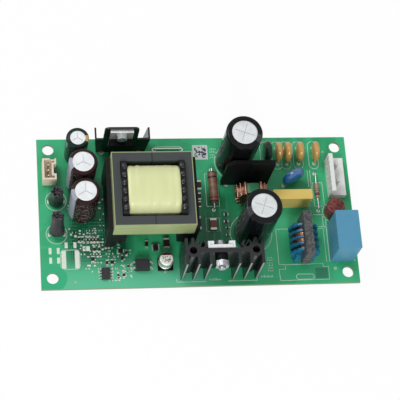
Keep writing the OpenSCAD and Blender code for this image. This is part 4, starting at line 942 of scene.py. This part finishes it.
# Creases across the tape: place along X, rise and turn round the winding
creases = ((wound_low.x + 3.1, -0.22, 1.2), (wound_low.x + 4.6, 0.16, 1.1), (wound_high.x - 2.6, -0.18, 0.6))
random.seed(5)
waves = [(random.uniform(0, 6.28), random.uniform(0.5, 2.2), random.uniform(2, 5)) for _ in range(6)]


def tape_rise(x, y, z, around):
    """How far the tape stands off its even section at a point, in mm."""
    rise = sum(WAVE_HEIGHT * math.sin(p + f * x + k * around) for p, f, k in waves)
    if z > 0:
        off = math.hypot(x - wound_mid.x - DENT_AT[0], y - DENT_AT[1])
        rise -= DENT_DEPTH * math.exp(-(off / DENT_REACH) ** 2)
    for at, height, turn in creases:
        rise += height * math.exp(-((x - at) / CREASE_REACH) ** 2) * max(0, math.sin(around + turn))
    return rise


outline = rounded_section(wound_half.y - WINDING_INSET, wound_half.z - WINDING_INSET, WINDING_CORNER_R)
winding_points = []
for row in range(WINDING_ROWS):
    x = wound_low.x + 2 * wound_half.x * row / (WINDING_ROWS - 1)
    from_end = min(row, WINDING_ROWS - 1 - row) / 2
    rounding = -END_ROUNDING * max(0, 1 - from_end) ** 2
    for i, (y, z) in enumerate(outline):
        rise = rounding + tape_rise(x, y, z, 2 * math.pi * i / len(outline))
        scale = 1 + rise / math.hypot(y, z)
        winding_points.append((x, wound_mid.y + y * scale, wound_mid.z - DECK / MM + z * scale))
closed_skin("taped_winding", winding_points, len(outline), yellow_tape, "transformer_winding")

# ---------------------------------------------------------------------------
# Lead-out sleeves: the ends of the windings cross the bobbin's flanges in
# short glossy black sleeves, tucked side by side against the tape.
# ---------------------------------------------------------------------------
SLEEVE_PITCH = 3.7
LEAD_OUTS = 6
# How far out from the tape they sit, how deep in the flange, and the width in which its top is looked for
SLEEVE_OUT = 1.15
SLEEVE_SUNK = 0.3
FLANGE_SEARCH = 1.4
# Half sizes of a sleeve, and how far each may be turned about its axes, in radians
SLEEVE_SHAPE = (1.3, 1.75, 1.3)
SLEEVE_TURN = (0.3, 0.3, 0.5)
lead_out_black = mottled("lead_out_black", (0.004, 0.004, 0.005), 0.14, second=(0.012, 0.012, 0.014), size=1,
    bump=0.3, specular=0.45)

lead_tree, lead = node_tree("lead_out", [("Sleeve Radius", "Float"), ("Sleeve Shape", "Vector")])
bead = add_node(lead_tree, "GeometryNodeMeshUVSphere", {"Segments": 20, "Rings": 12,
    "Radius": lead["Sleeve Radius"]})
rounded_bead = add_node(lead_tree, "GeometryNodeSetShadeSmooth", {"Geometry": bead.outputs["Mesh"]})
bead_turn = add_node(lead_tree, "FunctionNodeRandomValue", {"Min": [-turn for turn in SLEEVE_TURN],
    "Max": SLEEVE_TURN, "Seed": 4}, data_type="FLOAT_VECTOR")
set_on_points(lead_tree, lead, rounded_bead.outputs["Geometry"], Scale=lead["Sleeve Shape"],
    Rotation=bead_turn.outputs["Value"])

for side, wound_end, outward in (("left", wound_low.x, -1), ("right", wound_high.x, 1)):
    seat_x = wound_end + SLEEVE_OUT * outward
    flange_top = max(v.co.z for v in solid["transformer_bobbin"].data.vertices
        if abs(v.co.x / MM - seat_x) < FLANGE_SEARCH)
    seat_z = (flange_top - DECK) / MM - SLEEVE_SUNK
    seats = [(seat_x, wound_mid.y + SLEEVE_PITCH * (i - (LEAD_OUTS - 1) / 2), seat_z)
        for i in range(LEAD_OUTS)]
    grow(f"lead_out_sleeves_{side}", mesh_object("lead_out_seed", seats), lead_tree,
        {"Sleeve Radius": MM, "Sleeve Shape": SLEEVE_SHAPE, "Finish": lead_out_black})

# ---------------------------------------------------------------------------
# Heatsinks: a black anodised extrusion in front and a folded black sheet at
# the back, each with a transistor screwed to it.
# ---------------------------------------------------------------------------
# How far before and behind the foremost fin edge the painted highlight reaches
HIGHLIGHT_BEFORE = 2
HIGHLIGHT_BEHIND = 1.5
anodised = mottled("black_anodised", (0.008, 0.008, 0.010), 0.22, second=(0.022, 0.022, 0.025), size=0.9,
    stretch=(1, 1, 0.08), bump=0.03, specular=0.35)


def fin_tip_highlight(tree, axes):
    """1 on the fins' front edges, which carry a painted highlight in a lighter grey."""
    facing = add_split(tree, add_node(tree, "ShaderNodeNewGeometry").outputs["Normal"])
    forward = add_node(tree, "ShaderNodeMapRange", {"Value": facing["Y"], "From Min": -0.8,
        "From Max": -0.97})
    tips_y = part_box("front_heatsink")[0].y / MM
    return add_product(tree, forward.outputs["Result"],
        add_between(tree, axes["Y"], tips_y - HIGHLIGHT_BEFORE, tips_y + HIGHLIGHT_BEHIND, 0.3))


# Painted highlight: the fins' forward-facing front edges are lighter grey
repaint(anodised, fin_tip_highlight, (0.26, 0.27, 0.28))
dress(anodised, "front_heatsink")
dress(mottled("black_sheet", (0.003, 0.003, 0.0035), 0.22, second=(0.008, 0.008, 0.009), size=2, bump=0.15,
    specular=0.35), "rear_heatsink")
dress(black_moulding, "front_transistor_body", "rear_transistor_body", "insulating_bush")
dress(mottled("tab_metal", (0.86, 0.87, 0.87), 0.30, second=(0.62, 0.64, 0.64), size=1.4, metallic=0.7,
    bump=0.1), "front_transistor_frame", "rear_transistor_frame")
dress(mottled("zinc_steel", (0.50, 0.53, 0.54), 0.24, second=(0.17, 0.18, 0.19), size=1, metallic=0.7,
    bump=0.1), "heatsink_screws", "heatsink_nut")
dress(mottled("white_insulator", (0.80, 0.84, 0.84), 0.45, second=(0.70, 0.74, 0.74), size=2),
    "insulating_cap")

# ---------------------------------------------------------------------------
# Output header: a shroud of ivory nylon, open above, with one row of square
# gold plated pins pressed through its floor and soldered below.
# ---------------------------------------------------------------------------
dress(mottled("ivory_nylon", (0.80, 0.71, 0.58), 0.42, second=(0.72, 0.60, 0.46), size=2.5, specular=0.2),
    "output_header_housing")
dress(mottled("gold_plate", (0.62, 0.54, 0.38), 0.3, size=1, metallic=1.0), "output_header_pins")

# ---------------------------------------------------------------------------
# Studio: a pale floor that carries the shadow, soft light from above and from
# the front, and the camera.
# ---------------------------------------------------------------------------
FLOOR_REACH = 3
FLOOR_GLOW = 0.95
SKY_LIGHT = 0.44
SKY_SEEN = 1.0
LENS = 138.28
SENSOR = 36.0
# The camera's own axes, and its place above the middle of the board's top
CAMERA_RIGHT = (0.9878745, -0.0712426, 0.1379438)
CAMERA_UP = (0.0148593, 0.9278077, 0.3727628)
CAMERA_BACK = (-0.1545419, -0.3661931, 0.9176161)
CAMERA_AT = (-0.103881, -0.244238, 0.624744 + DECK)


def seen_or_mirrored(tree):
    """1 for what the camera sees or a glossy surface mirrors, else 0."""
    rays = add_node(tree, "ShaderNodeLightPath").outputs
    return add_math(tree, "MAXIMUM", rays["Is Camera Ray"], rays["Is Glossy Ray"])


floor_paint, floor_tree, floor_shader = new_material("floor_paint", (0.9, 0.9, 0.9), 0.9, specular=0.1)
glow = add_node(floor_tree, "ShaderNodeEmission")
blend = add_node(floor_tree, "ShaderNodeMixShader", {
    "Fac": add_math(floor_tree, "MULTIPLY", seen_or_mirrored(floor_tree), FLOOR_GLOW),
    1: floor_shader.outputs["BSDF"], 2: glow.outputs["Emission"]})
floor_tree.links.new(blend.outputs["Shader"], floor_tree.nodes["Material Output"].inputs["Surface"])
floor_mesh = bpy.data.meshes.new("studio_floor")
floor_corners = [(x, y, 0) for x, y in oblong(-FLOOR_REACH, -FLOOR_REACH, FLOOR_REACH, FLOOR_REACH)[:4]]
floor_mesh.from_pydata(floor_corners, [], [(0, 1, 2, 3)])
floor_mesh.materials.append(floor_paint)
floor = bpy.data.objects.new("studio_floor", floor_mesh)
bpy.context.scene.collection.objects.link(floor)

world = bpy.data.worlds.new("studio")
bpy.context.scene.world = world
world.use_nodes = True
sky = world.node_tree
backdrop = sky.nodes["Background"]
backdrop.inputs["Color"].default_value = (1, 1, 1, 1)
strength = add_node(sky, "ShaderNodeMapRange", {"Value": seen_or_mirrored(sky), "To Min": SKY_LIGHT,
    "To Max": SKY_SEEN})
sky.links.new(strength.outputs["Result"], backdrop.inputs["Strength"])


def soft_lamp(name, place, size, watts):
    """A square softbox aimed at the middle of the part."""
    light = bpy.data.lights.new(name, "AREA")
    light.shape = "SQUARE"
    light.size = size
    light.energy = watts
    lamp = bpy.data.objects.new(name, light)
    lamp.location = place
    lamp.rotation_mode = "QUATERNION"
    lamp.rotation_quaternion = (-Vector(place)).to_track_quat("-Z", "Y")
    bpy.context.scene.collection.objects.link(lamp)


soft_lamp("front_softbox", (-0.15, -0.75, 0.65), 0.3, 4.2)
soft_lamp("side_softbox", (-0.50, 0.40, 0.85), 0.55, 4.6)

camera_data = bpy.data.cameras.new("camera")
camera_data.lens = LENS
camera_data.sensor_width = SENSOR
camera_data.clip_start = 0.01
camera = bpy.data.objects.new("camera", camera_data)
turned = Matrix((CAMERA_RIGHT, CAMERA_UP, CAMERA_BACK)).transposed().to_4x4()
camera.matrix_world = Matrix.Translation(CAMERA_AT) @ turned
bpy.context.scene.collection.objects.link(camera)
bpy.context.scene.camera = camera
bpy.context.scene.view_settings.view_transform = "Standard"
